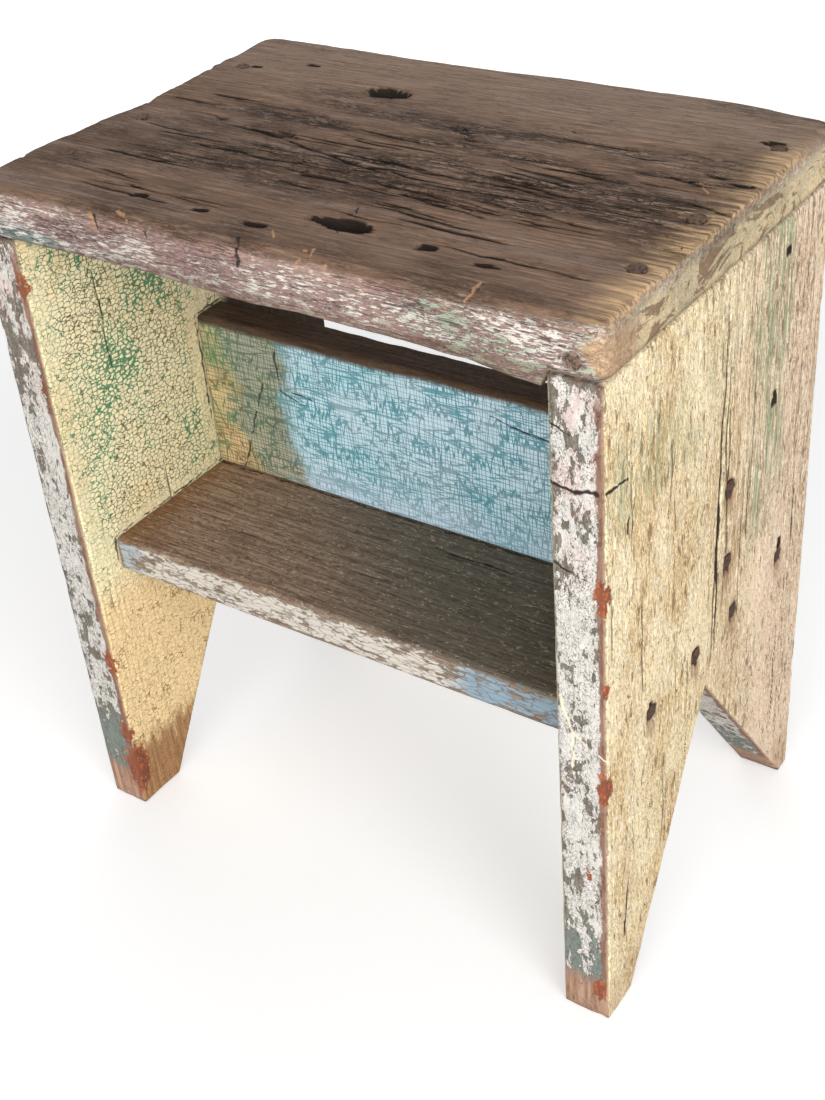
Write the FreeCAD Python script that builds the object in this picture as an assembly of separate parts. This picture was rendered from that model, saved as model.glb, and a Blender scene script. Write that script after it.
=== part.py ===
"""Step stool of old painted planks: a thick seat nailed over two notched end boards.

Between the end boards a full-depth shelf carries an upright stretcher board that stands
along its middle. Every joint is a plain butt joint held by round-headed wire nails.

Frame: +X to the sitter's right seen from the front, +Y to the back, +Z up.
Origin: on the floor, under the middle of the seat. All sizes are in millimetres.
"""

import FreeCAD
import Part
import math
import os

Vec = FreeCAD.Vector

# ---- seat -----------------------------------------------------------------------------
SEAT_LENGTH = 330.0
SEAT_DEPTH = 224.0
SEAT_THICKNESS = 25.0
STOOL_HEIGHT = 379.0
SEAT_ARRIS = 3.5  # rounding of the top edge, all the way round
SEAT_UNDER_ARRIS = 1.2
SEAT_CORNERS = {"front_left": 6.0, "front_right": 9.0, "rear_right": 12.0, "rear_left": 16.0}

# The left end of the seat is worn back in a long slant, deepest towards the rear.
WEAR_START = 24.0  # distance from the seat's front edge to where the wear begins
WEAR_DEEPEST = 150.0  # distance from the front edge to the deepest point
WEAR_DEPTH = 12.0
WEAR_RECOVERY = 30.0  # distance behind the deepest point at which the edge comes out again
WEAR_REAR_DEPTH = 6.5  # what is missing from there to the rear corner
WEAR_BLEND = 14.0  # radius that softens each turn of the worn edge

# Two old knot holes that run part way down from the top: centre from the seat's left end
# and front edge, length along the grain, width across it, and depth.
KNOT_HOLES = (
    {"from_left": 116.0, "from_front": 173.0, "length": 22.0, "width": 11.0, "depth": 7.0},
    {"from_left": 192.0, "from_front": 34.0, "length": 25.0, "width": 12.0, "depth": 9.0},
)

# ---- end boards -----------------------------------------------------------------------
END_THICKNESS = 25.4
END_DEPTH = 215.0
END_ARRIS = 2.0
NOTCH_APEX_ROUND = 5.0
FOOT_ROUND = 4.0

# A notch cuts the foot of each end board into a front and a rear leg.
RIGHT_NOTCH = {"front_foot": 24.0, "rear_foot": 11.0, "apex_from_front": 99.0, "apex_height": 144.0}
LEFT_NOTCH = {"front_foot": 31.0, "rear_foot": 12.0, "apex_from_front": 112.0, "apex_height": 138.0}

# ---- shelf ----------------------------------------------------------------------------
SHELF_TOP = 177.0
SHELF_THICKNESS = 20.0
SHELF_FRONT_SETBACK = 20.0
SHELF_REAR_SETBACK = 20.0
SHELF_ARRIS = 2.5

# ---- stretcher ------------------------------------------------------------------------
STRETCHER_THICKNESS = 22.0
STRETCHER_HEIGHT = 91.0
STRETCHER_SETBACK = 107.0  # from the end boards' front edge to the stretcher's front face
STRETCHER_ARRIS = 3.0

# ---- nails ----------------------------------------------------------------------------
NAIL_LENGTH = 60.0
CORNER_NAIL_LENGTH = 38.0
SHANK_RADIUS = 1.7
HEAD_RADIUS = 4.0
HEAD_THICKNESS = 1.5
POINT_LENGTH = 6.0
POINT_RADIUS = 0.3
HEAD_SINK = 0.8  # how far a head lies below the face of the wood
NAIL_CLEARANCE = 0.05  # between a nail and the hole that it made
HOLE_MOUTH = 1.0  # a hole's cutter stands this far out of the face

SEAT_NAILS_FROM_FRONT = (48.0, 99.0, 179.0)
SEAT_NAIL_INSET_RIGHT = 12.0  # from the end board's outer face
SEAT_NAIL_INSET_LEFT = 18.0  # further in, clear of the worn edge
SHELF_NAILS_FROM_FRONT = (42.0, 87.0, 127.0, 180.0)
STRETCHER_NAILS_UP = (24.0, 65.0)  # above the shelf's top
FOOT_NAIL_INSET = 60.0  # from the stretcher's ends to the outer nails through the shelf
CORNER_NAIL_FROM_RIGHT = 14.0
CORNER_NAIL_UP = 7.0  # above the seat's underside

# ---- places that follow from the sizes ------------------------------------------------
SEAT_UNDERSIDE = STOOL_HEIGHT - SEAT_THICKNESS
RIGHT = SEAT_LENGTH / 2
LEFT = -RIGHT
FRONT = -SEAT_DEPTH / 2
SEAT_REAR = SEAT_DEPTH / 2
END_REAR = FRONT + END_DEPTH
INNER_RIGHT = RIGHT - END_THICKNESS
INNER_LEFT = LEFT + END_THICKNESS
SHELF_UNDERSIDE = SHELF_TOP - SHELF_THICKNESS
SHELF_MIDDLE = SHELF_TOP - SHELF_THICKNESS / 2
STRETCHER_FRONT = FRONT + STRETCHER_SETBACK
STRETCHER_MIDDLE = STRETCHER_FRONT + STRETCHER_THICKNESS / 2

UP = Vec(0, 0, 1)
TOLERANCE = 1e-6


def rounded_outline(corners):
    """Returns a closed wire through corners, a list of (point, radius), each turn rounded to its radius."""
    entries, exits, middles = [], [], []
    for i, (point, radius) in enumerate(corners):
        before = corners[i - 1][0]
        after = corners[(i + 1) % len(corners)][0]
        towards_before = (before - point).normalize()
        towards_after = (after - point).normalize()
        half_turn = towards_before.getAngle(towards_after) / 2
        bisector = (towards_before + towards_after).normalize()
        run = radius / math.tan(half_turn)
        entries.append(point + towards_before * run)
        exits.append(point + towards_after * run)
        middles.append(point + bisector * (radius / math.sin(half_turn) - radius))
    edges = []
    for i, (point, radius) in enumerate(corners):
        if radius > 0:
            edges.append(Part.Arc(entries[i], middles[i], exits[i]).toShape())
        edges.append(Part.LineSegment(exits[i], entries[(i + 1) % len(corners)]).toShape())
    return Part.Wire(edges)


def edges_in_plane(shape, axis, value):
    """Returns the shape's edges that lie wholly in the plane where the given axis, 0 to 2, has the value."""
    found = []
    for edge in shape.Edges:
        box = edge.BoundBox
        low = (box.XMin, box.YMin, box.ZMin)[axis]
        high = (box.XMax, box.YMax, box.ZMax)[axis]
        if abs(low - value) < 1e-4 and abs(high - value) < 1e-4:
            found.append(edge)
    return found


def nail_profile(length, extra, mouth):
    """Returns the solid of revolution of a nail that points down from its head at the origin.

    extra widens it all round, for the hole that it sits in, and mouth carries the head up.
    """
    head = HEAD_RADIUS + extra
    shank = SHANK_RADIUS + extra
    head_bottom = -HEAD_THICKNESS - extra
    tip = -length - extra
    points = [
        Vec(0, 0, mouth),
        Vec(head, 0, mouth),
        Vec(head, 0, head_bottom),
        Vec(shank, 0, head_bottom),
        Vec(shank, 0, POINT_LENGTH - length),
        Vec(POINT_RADIUS + extra, 0, tip),
        Vec(0, 0, tip),
        Vec(0, 0, mouth),
    ]
    return Part.Face(Part.makePolygon(points)).revolve(Vec(0, 0, 0), UP, 360)


def drive(face_point, direction, length=NAIL_LENGTH):
    """Returns a nail and its hole, driven from a point on a face of the wood in a direction."""
    turn = FreeCAD.Rotation(Vec(0, 0, -1), direction)
    place = FreeCAD.Placement(face_point + direction * HEAD_SINK, turn)
    nail = nail_profile(length, 0.0, 0.0)
    hole = nail_profile(length, NAIL_CLEARANCE, HEAD_SINK + HOLE_MOUTH)
    nail.Placement = place
    hole.Placement = place
    return nail, hole


def nail_groups():
    """Returns every nail, as {node: list of (nail, hole)}."""
    down = Vec(0, 0, -1)
    groups = {}
    for side, outer, seat_inset in (
        ("left", LEFT, SEAT_NAIL_INSET_LEFT),
        ("right", RIGHT, SEAT_NAIL_INSET_RIGHT),
    ):
        inward = Vec(-1 if outer > 0 else 1, 0, 0)
        seat_x = outer + inward.x * seat_inset
        groups[f"seat_nails_{side}"] = [
            drive(Vec(seat_x, FRONT + setback, STOOL_HEIGHT), down) for setback in SEAT_NAILS_FROM_FRONT
        ]
        groups[f"shelf_nails_{side}"] = [
            drive(Vec(outer, FRONT + setback, SHELF_MIDDLE), inward) for setback in SHELF_NAILS_FROM_FRONT
        ]
        groups[f"stretcher_nails_{side}"] = [
            drive(Vec(outer, STRETCHER_MIDDLE, SHELF_TOP + up), inward) for up in STRETCHER_NAILS_UP
        ]
    outermost = INNER_RIGHT - FOOT_NAIL_INSET
    groups["stretcher_foot_nails"] = [
        drive(Vec(x, STRETCHER_MIDDLE, SHELF_UNDERSIDE), UP) for x in (-outermost, 0.0, outermost)
    ]
    corner = Vec(RIGHT - CORNER_NAIL_FROM_RIGHT, FRONT, SEAT_UNDERSIDE + CORNER_NAIL_UP)
    groups["front_corner_nail"] = [drive(corner, Vec(0, 1, 0), CORNER_NAIL_LENGTH)]
    return groups


def knot_hole(hole):
    """Returns the oval cutter of one knot hole, with a rounded bottom."""
    centre = Vec(LEFT + hole["from_left"], FRONT + hole["from_front"], STOOL_HEIGHT)
    half_width = hole["width"] / 2
    half_length = hole["length"] / 2
    turns = [
        (centre + Vec(half_length * along, half_width * across, -hole["depth"]), half_width * 0.98)
        for along, across in ((-1, -1), (1, -1), (1, 1), (-1, 1))
    ]
    plan = rounded_outline(turns)
    cutter = Part.Face(plan).extrude(UP * (hole["depth"] + HOLE_MOUTH))
    floor_edges = edges_in_plane(cutter, 2, STOOL_HEIGHT - hole["depth"])
    return cutter.makeFillet(half_width * 0.45, floor_edges)


def seat_board(groups):
    """Returns the seat: a plank with rounded edges, a worn left end and two knot holes."""
    worn_rear = LEFT + WEAR_REAR_DEPTH
    corners = [
        (Vec(LEFT, FRONT, 0), SEAT_CORNERS["front_left"]),
        (Vec(RIGHT, FRONT, 0), SEAT_CORNERS["front_right"]),
        (Vec(RIGHT, SEAT_REAR, 0), SEAT_CORNERS["rear_right"]),
        (Vec(worn_rear, SEAT_REAR, 0), SEAT_CORNERS["rear_left"]),
        (Vec(worn_rear, FRONT + WEAR_DEEPEST + WEAR_RECOVERY, 0), WEAR_BLEND),
        (Vec(LEFT + WEAR_DEPTH, FRONT + WEAR_DEEPEST, 0), WEAR_BLEND),
        (Vec(LEFT, FRONT + WEAR_START, 0), WEAR_BLEND),
    ]
    wire = rounded_outline(corners)
    wire.translate(Vec(0, 0, SEAT_UNDERSIDE))
    board = Part.Face(wire).extrude(UP * SEAT_THICKNESS)
    board = board.makeFillet(SEAT_ARRIS, edges_in_plane(board, 2, STOOL_HEIGHT))
    board = board.makeFillet(SEAT_UNDER_ARRIS, edges_in_plane(board, 2, SEAT_UNDERSIDE))
    for hole in KNOT_HOLES:
        board = board.cut(knot_hole(hole))
    return cut_holes(board, groups, "seat_nails_left", "seat_nails_right", "front_corner_nail")


def end_board(outer, inner, notch):
    """Returns one end board, notched at the foot into two legs, between its outer and inner face."""
    front_toe = FRONT + notch["front_foot"]
    rear_toe = END_REAR - notch["rear_foot"]
    apex = Vec(inner, FRONT + notch["apex_from_front"], notch["apex_height"])
    wire = rounded_outline(
        [
            (Vec(inner, FRONT, 0), FOOT_ROUND),
            (Vec(inner, front_toe, 0), FOOT_ROUND),
            (apex, NOTCH_APEX_ROUND),
            (Vec(inner, rear_toe, 0), FOOT_ROUND),
            (Vec(inner, END_REAR, 0), FOOT_ROUND),
            (Vec(inner, END_REAR, SEAT_UNDERSIDE), 0.0),
            (Vec(inner, FRONT, SEAT_UNDERSIDE), 0.0),
        ]
    )
    board = Part.Face(wire).extrude(Vec(outer - inner, 0, 0))
    top_edges = edges_in_plane(board, 2, SEAT_UNDERSIDE)
    for face_x in (outer, inner):
        arrises = [
            edge
            for edge in edges_in_plane(board, 0, face_x)
            if not any(edge.isSame(top) for top in top_edges)
        ]
        board = board.makeFillet(END_ARRIS, arrises)
        top_edges = edges_in_plane(board, 2, SEAT_UNDERSIDE)
    return board


def shelf_board():
    """Returns the shelf, which lies between the end boards."""
    depth = END_DEPTH - SHELF_FRONT_SETBACK - SHELF_REAR_SETBACK
    corner = Vec(INNER_LEFT, FRONT + SHELF_FRONT_SETBACK, SHELF_UNDERSIDE)
    board = Part.makeBox(INNER_RIGHT - INNER_LEFT, depth, SHELF_THICKNESS, corner)
    arrises = edges_in_plane(board, 1, corner.y) + edges_in_plane(board, 1, corner.y + depth)
    long_ones = [edge for edge in arrises if edge.BoundBox.XLength > SHELF_THICKNESS]
    return board.makeFillet(SHELF_ARRIS, long_ones)


def stretcher_board():
    """Returns the upright board that stands on the shelf and ties the end boards together."""
    corner = Vec(INNER_LEFT, STRETCHER_FRONT, SHELF_TOP)
    board = Part.makeBox(INNER_RIGHT - INNER_LEFT, STRETCHER_THICKNESS, STRETCHER_HEIGHT, corner)
    top_edges = edges_in_plane(board, 2, SHELF_TOP + STRETCHER_HEIGHT)
    long_ones = [edge for edge in top_edges if edge.BoundBox.XLength > STRETCHER_THICKNESS]
    return board.makeFillet(STRETCHER_ARRIS, long_ones)


def cut_holes(board, groups, *names):
    """Returns the board with the holes of the named nail groups cut out of it."""
    for name in names:
        for _, hole in groups[name]:
            board = board.cut(hole)
    return board


def build():
    """Returns every sub-part of the stool as {node: shape}."""
    groups = nail_groups()
    parts = {"seat_board": seat_board(groups)}
    for side, outer, inner, notch in (
        ("left", LEFT, INNER_LEFT, LEFT_NOTCH),
        ("right", RIGHT, INNER_RIGHT, RIGHT_NOTCH),
    ):
        parts[f"{side}_end_board"] = cut_holes(
            end_board(outer, inner, notch),
            groups,
            f"seat_nails_{side}",
            f"shelf_nails_{side}",
            f"stretcher_nails_{side}",
        )
    parts["shelf_board"] = cut_holes(
        shelf_board(), groups, "shelf_nails_left", "shelf_nails_right", "stretcher_foot_nails"
    )
    parts["stretcher_board"] = cut_holes(
        stretcher_board(), groups, "stretcher_nails_left", "stretcher_nails_right", "stretcher_foot_nails"
    )
    for name, nails in groups.items():
        parts[name] = Part.makeCompound([nail for nail, _ in nails])
    return parts


os.makedirs("parts", exist_ok=True)
for node, shape in build().items():
    for solid in shape.Solids:
        if not solid.isValid() or solid.Volume < TOLERANCE:
            raise ValueError(f"{node} has a solid that is not valid")
    shape.exportStep(f"parts/{node}.step")
    print(f"{node}: {len(shape.Solids)} solid(s), {shape.Volume / 1000:.1f} cm3")
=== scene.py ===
"""Old painted step stool: planks carved by wear, flaking paint, studio and camera.

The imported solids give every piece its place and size. Each plank is cut again here as a
fine mesh, carved with its checks, pits, chips and worn arrises, and dressed in its own
layers of bare wood, old paint and dirt. Carving and marks are reckoned in millimetres,
patterns and borders in metres.
"""

import functools
import itertools
import logging
import math
import operator
from dataclasses import dataclass, field
from enum import Enum

import bmesh
import bpy
import numpy as np
from mathutils import Matrix, Vector


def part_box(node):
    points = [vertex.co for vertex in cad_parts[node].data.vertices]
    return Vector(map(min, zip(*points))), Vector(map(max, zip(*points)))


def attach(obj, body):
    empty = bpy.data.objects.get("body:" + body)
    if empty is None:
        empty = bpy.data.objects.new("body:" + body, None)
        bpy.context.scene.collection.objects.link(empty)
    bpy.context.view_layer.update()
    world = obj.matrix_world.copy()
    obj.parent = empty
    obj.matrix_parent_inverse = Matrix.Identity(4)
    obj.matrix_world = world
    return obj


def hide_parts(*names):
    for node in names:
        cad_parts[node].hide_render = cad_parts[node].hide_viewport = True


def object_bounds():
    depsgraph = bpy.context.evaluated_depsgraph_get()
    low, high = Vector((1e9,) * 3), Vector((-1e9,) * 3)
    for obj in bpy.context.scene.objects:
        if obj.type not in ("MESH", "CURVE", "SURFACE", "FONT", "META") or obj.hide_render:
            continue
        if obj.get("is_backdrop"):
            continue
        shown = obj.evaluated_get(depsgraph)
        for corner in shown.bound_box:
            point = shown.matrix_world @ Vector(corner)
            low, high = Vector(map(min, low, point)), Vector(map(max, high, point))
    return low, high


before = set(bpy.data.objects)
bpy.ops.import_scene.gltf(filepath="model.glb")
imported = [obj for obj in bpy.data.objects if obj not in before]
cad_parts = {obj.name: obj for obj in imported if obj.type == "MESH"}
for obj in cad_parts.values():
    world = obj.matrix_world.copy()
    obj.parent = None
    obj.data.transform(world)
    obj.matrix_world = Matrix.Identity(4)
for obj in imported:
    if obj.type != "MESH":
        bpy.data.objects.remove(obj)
CAD_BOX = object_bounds()

LOG = logging.getLogger("stool")
MM = 0.001
TINY = 1e-6
ROOT = "root"
Pair = tuple[float, float]
Triple = tuple[float, float, float]
Colour = tuple[float, float, float, float]
Feeds = dict[int | str, object]


class Axis(Enum):
    """The row's three directions."""

    X = 0
    Y = 1
    Z = 2


class Side(Enum):
    """The two ends of the stool, with the sign of their X."""

    LEFT = -1
    RIGHT = 1


Face = tuple[Axis, bool]


def tone(red: float, green: float, blue: float) -> Colour:
    """Turns display values into the linear colour that a shader takes.

    Args:
        red: Display red, 0 to 255.
        green: Display green, 0 to 255.
        blue: Display blue, 0 to 255.

    Returns:
        The linear colour with full alpha.
    """
    parts = [value / 255 for value in (red, green, blue)]
    linear = [v / 12.92 if v <= 0.04045 else ((v + 0.055) / 1.055) ** 2.4 for v in parts]
    return (*linear, 1.0)


def smooth(low: float, high: float, value: np.ndarray) -> np.ndarray:
    """Fades from 0 at low to 1 at high, softly at both ends."""
    t = np.clip((value - low) / (high - low), 0.0, 1.0)
    return t * t * (3 - 2 * t)


def add(name: str, data: bpy.types.ID) -> bpy.types.Object:
    """Puts a new object into the scene.

    Args:
        name: Its name.
        data: Its mesh, lamp or camera.

    Returns:
        The object.
    """
    made = bpy.data.objects.new(name, data)
    bpy.context.scene.collection.objects.link(made)
    return made


class Ripple:
    """Repeatable lattice noise that is worked out for many points at once."""

    SLOPES = 512
    GAIN = 1.7
    APART = 37.0

    def __init__(self, seed: int) -> None:
        """Fills the tables.

        Args:
            seed: Picks one of many different patterns.
        """
        maker = np.random.default_rng(seed)
        self.order = maker.permutation(self.SLOPES)
        slopes = maker.normal(size=(self.SLOPES, 3))
        self.slopes = slopes / np.linalg.norm(slopes, axis=1)[:, None]

    def at(self, points: np.ndarray, wave: Triple) -> np.ndarray:
        """Gives the noise at each point.

        Args:
            points: Rows of x, y and z, in millimetres.
            wave: The pattern's size along each axis, in millimetres.

        Returns:
            Values between about -1 and 1.
        """
        scaled = points / np.array(wave)
        cell = np.floor(scaled).astype(int)
        part = scaled - cell
        ease = part**3 * (part * (part * 6 - 15) + 10)
        total = np.zeros(len(points))
        for corner in itertools.product((0, 1), repeat=3):
            index = 0
            for step in (cell + corner).T:
                index = self.order[(index + step) & (self.SLOPES - 1)]
            weight = np.prod(np.where(corner, ease, 1 - ease), axis=1)
            total += weight * np.sum(self.slopes[index] * (part - corner), axis=1)
        return total * self.GAIN

    def layered(self, points: np.ndarray, wave: Triple, layers: int) -> np.ndarray:
        """Adds ever finer and weaker layers of the noise.

        Args:
            points: Rows of x, y and z, in millimetres.
            wave: The coarsest layer's size along each axis, in millimetres.
            layers: How many layers, each half the size and strength of the last.

        Returns:
            Values between about -1 and 1.
        """
        shares = [0.5**layer for layer in range(layers)]
        total = np.zeros(len(points))
        for layer, share in enumerate(shares):
            total += share * self.at(points + self.APART * layer, tuple(w * share for w in wave))
        return total / sum(shares)


@dataclass(frozen=True)
class Check:
    """A drying crack along the grain: where it starts, its size in millimetres, and how it leans."""

    along: float
    across: float
    length: float
    width: float
    depth: float
    lean: float = 0.0


@dataclass(frozen=True)
class Pit:
    """An oval hollow: its centre, half sizes and depth, in millimetres, its turn and darkness."""

    along: float
    across: float
    reach: float
    breadth: float
    depth: float
    turn: float = 0.0
    dark: float = 1.0


@dataclass(frozen=True)
class Scratch:
    """A straight stroke from start to end, in millimetres."""

    start: Triple
    end: Triple
    width: float = 1.0


def trails(*rows: tuple) -> tuple[Scratch, ...]:
    """Joins points with straight strokes.

    Args:
        rows: For each trail its width, then its points, in millimetres.

    Returns:
        One stroke from each point to the next.
    """
    return tuple(Scratch(a, b, width) for width, *points in rows for a, b in zip(points, points[1:]))


def contact(first: str, second: str, width: float = 1.7) -> tuple[Scratch, ...]:
    """Outlines the rectangle where two boards meet, as a dark seam: the joint's line together with painted
    contact shade.

    Args:
        first: One board's node.
        second: The other board's node.
        width: How wide the seam is.

    Returns:
        The four sides of the rectangle.
    """
    lows, highs = zip(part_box(first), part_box(second))
    ends = [[max(pair) / MM for pair in zip(*lows)], [min(pair) / MM for pair in zip(*highs)]]
    flat = min(range(3), key=lambda axis: ends[1][axis] - ends[0][axis])
    across, along = (axis for axis in range(3) if axis != flat)
    corners = []
    for far_across, far_along in ((0, 0), (1, 0), (1, 1), (0, 1), (0, 0)):
        corner = list(ends[0])
        corner[across] = ends[far_across][across]
        corner[along] = ends[far_along][along]
        corners.append(tuple(corner))
    return trails((width, *corners))


class Carver:
    """Carves a finely sliced plank by moving its points, and keeps the masks its finish reads."""

    def __init__(self, mesh: bpy.types.Mesh, seed: int) -> None:
        """Reads the mesh.

        Args:
            mesh: The plank's mesh, in metres.
            seed: Picks the plank's own pattern of wear.
        """
        self.mesh = mesh
        count = len(mesh.vertices)
        flat = np.empty(count * 3)
        mesh.vertices.foreach_get("co", flat)
        self.base = flat.reshape(-1, 3) / MM
        mesh.vertices.foreach_get("normal", flat)
        self.normals = flat.reshape(-1, 3).copy()
        self.points = self.base.copy()
        self.cut = np.zeros(count)
        self.masks = {"crack": np.zeros(count)}
        self.low = self.base.min(axis=0)
        self.high = self.base.max(axis=0)
        self.ripple = Ripple(seed)
        self.random = np.random.default_rng(seed)

    def facing(self, axis: Axis, sign: float) -> np.ndarray:
        """Tells how squarely each point faces along an axis, 0 to 1."""
        return np.clip(self.normals[:, axis.value] * sign * 3 - 1.6, 0.0, 1.0)

    def stray(self, lengths: Pair, ends: Pair, places: Pair, width: float | Pair, depths: Pair) -> Check:
        """Draws one check at random.

        Args:
            lengths: The least and the greatest length, in millimetres.
            ends: Where it may start and end along the grain.
            places: Where it may lie across the grain.
            width: Its width, or the least and the greatest.
            depths: The least and the greatest depth.

        Returns:
            The check.
        """
        draw = self.random.uniform
        length = draw(*lengths)
        start = draw(ends[0], ends[1] - length)
        place = draw(*places)
        return Check(start, place, length, draw(*width) if isinstance(width, tuple) else width, draw(*depths))

    def swell(self, amount: float, wave: Triple) -> None:
        """Lets the whole surface rise and fall gently, by an amount in millimetres."""
        self.cut += amount * (0.5 - self.ripple.layered(self.base, wave, 2))

    def darken(self, strength: np.ndarray, near: np.ndarray | slice = slice(None)) -> None:
        """Raises the crack mask where points are darker than they were."""
        self.masks["crack"][near] = np.maximum(self.masks["crack"][near], strength)

    def groove(self, check: Check, side: np.ndarray, along: Axis, across: Axis) -> None:
        """Cuts one check.

        Args:
            check: Its place and size.
            side: How far each point belongs to the face that it is in.
            along: The direction of the grain.
            across: The direction across the grain in that face.
        """
        t = (self.base[:, along.value] - check.along) / check.length
        near = (t > 0) & (t < 1) & (side > 0)
        if not near.any():
            return
        u, t = self.base[near, along.value], t[near]
        rows = np.column_stack([u, np.full(len(u), check.across * 3.1), np.zeros(len(u))])
        wander = self.ripple.at(rows, (22.0, 1.0, 1.0)) * 1.6 + self.ripple.at(rows, (5.0, 1.0, 1.0)) * 0.3
        centre = check.across + check.lean * t * check.length + wander
        reach = check.width * 0.5 * np.sqrt(np.clip(4 * t * (1 - t), 0.02, 1.0))
        depth = np.exp(-(((self.base[near, across.value] - centre) / reach) ** 2)) * side[near]
        self.cut[near] += check.depth * depth
        self.darken(depth * min(1.0, check.depth), near)

    def hollow(self, pit: Pit, side: np.ndarray, first: Axis, second: Axis) -> None:
        """Sinks one oval pit with a ragged rim.

        Args:
            pit: Its place and size.
            side: How far each point belongs to the face that it is in.
            first: The direction of the pit's first measure.
            second: The direction of its second.
        """
        a = self.base[:, first.value] - pit.along
        b = self.base[:, second.value] - pit.across
        cos, sin = math.cos(pit.turn), math.sin(pit.turn)
        ragged = 1 + 0.18 * self.ripple.at(self.base, (3.5, 3.5, 3.5))
        span = np.hypot((a * cos + b * sin) / pit.reach, (b * cos - a * sin) / pit.breadth) * ragged
        self.cut += pit.depth * (1 - smooth(0.7, 1.1, span)) * side
        self.darken((1 - smooth(0.92, 1.14, span)) * side * pit.dark)

    def dent(self, stroke: Scratch, depth: np.ndarray) -> None:
        """Presses the points near one stroke inwards.

        Args:
            stroke: The stroke.
            depth: How deep at its middle, in millimetres, at each point.
        """
        start = np.array(stroke.start, dtype=float)
        run = np.array(stroke.end, dtype=float) - start
        share = np.clip(((self.points - start) @ run) / (run @ run), 0.0, 1.0)
        gap = np.linalg.norm(self.points - start - share[:, None] * run, axis=1)
        press = depth * np.exp(-((gap / (0.8 * stroke.width)) ** 2))
        self.points = self.points - self.normals * press[:, None]

    def apply(self) -> None:
        """Moves every point inwards by what has been cut."""
        self.points = self.points - self.normals * self.cut[:, None]

    def round_off(self, first: Face, second: Face, radius: float | np.ndarray, plan: bool = False) -> None:
        """Wears a long arris, or a square corner of the outline, round.

        Args:
            first: One of the two faces that meet there: its axis, and whether it is the high one.
            second: The other face, likewise.
            radius: The radius, in millimetres, which may differ from point to point.
            plan: Whether all that lies inside the corner is drawn in, as an outline is.
        """
        overs = []
        for axis, high in (first, second):
            edge = (self.high if high else self.low)[axis.value]
            sign = 1.0 if high else -1.0
            overs.append((axis.value, sign, radius - sign * (edge - self.points[:, axis.value])))
        a, b = overs[0][2], overs[1][2]
        length = np.maximum(np.hypot(a, b), TINY)
        wanted = np.maximum(a, b) if plan else np.minimum(radius, length)
        scale = np.where((a > 0) & (b > 0), wanted / length, 1.0)
        for axis, sign, over in overs:
            self.points[:, axis] -= sign * over * (1 - scale)

    def keep(self) -> None:
        """Writes the points and masks back to the mesh."""
        np.clip(self.points, self.low, self.high, out=self.points)
        self.mesh.vertices.foreach_set("co", (self.points * MM).ravel())
        for name, values in self.masks.items():
            layer = self.mesh.attributes.new(name, "FLOAT", "POINT")
            layer.data.foreach_set("value", values.astype(np.float32))
        self.mesh.update()


# ---- patterns ---------------------------------------------------------------------------

HALF = (0.5, 0.5, 0.5)


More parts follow.
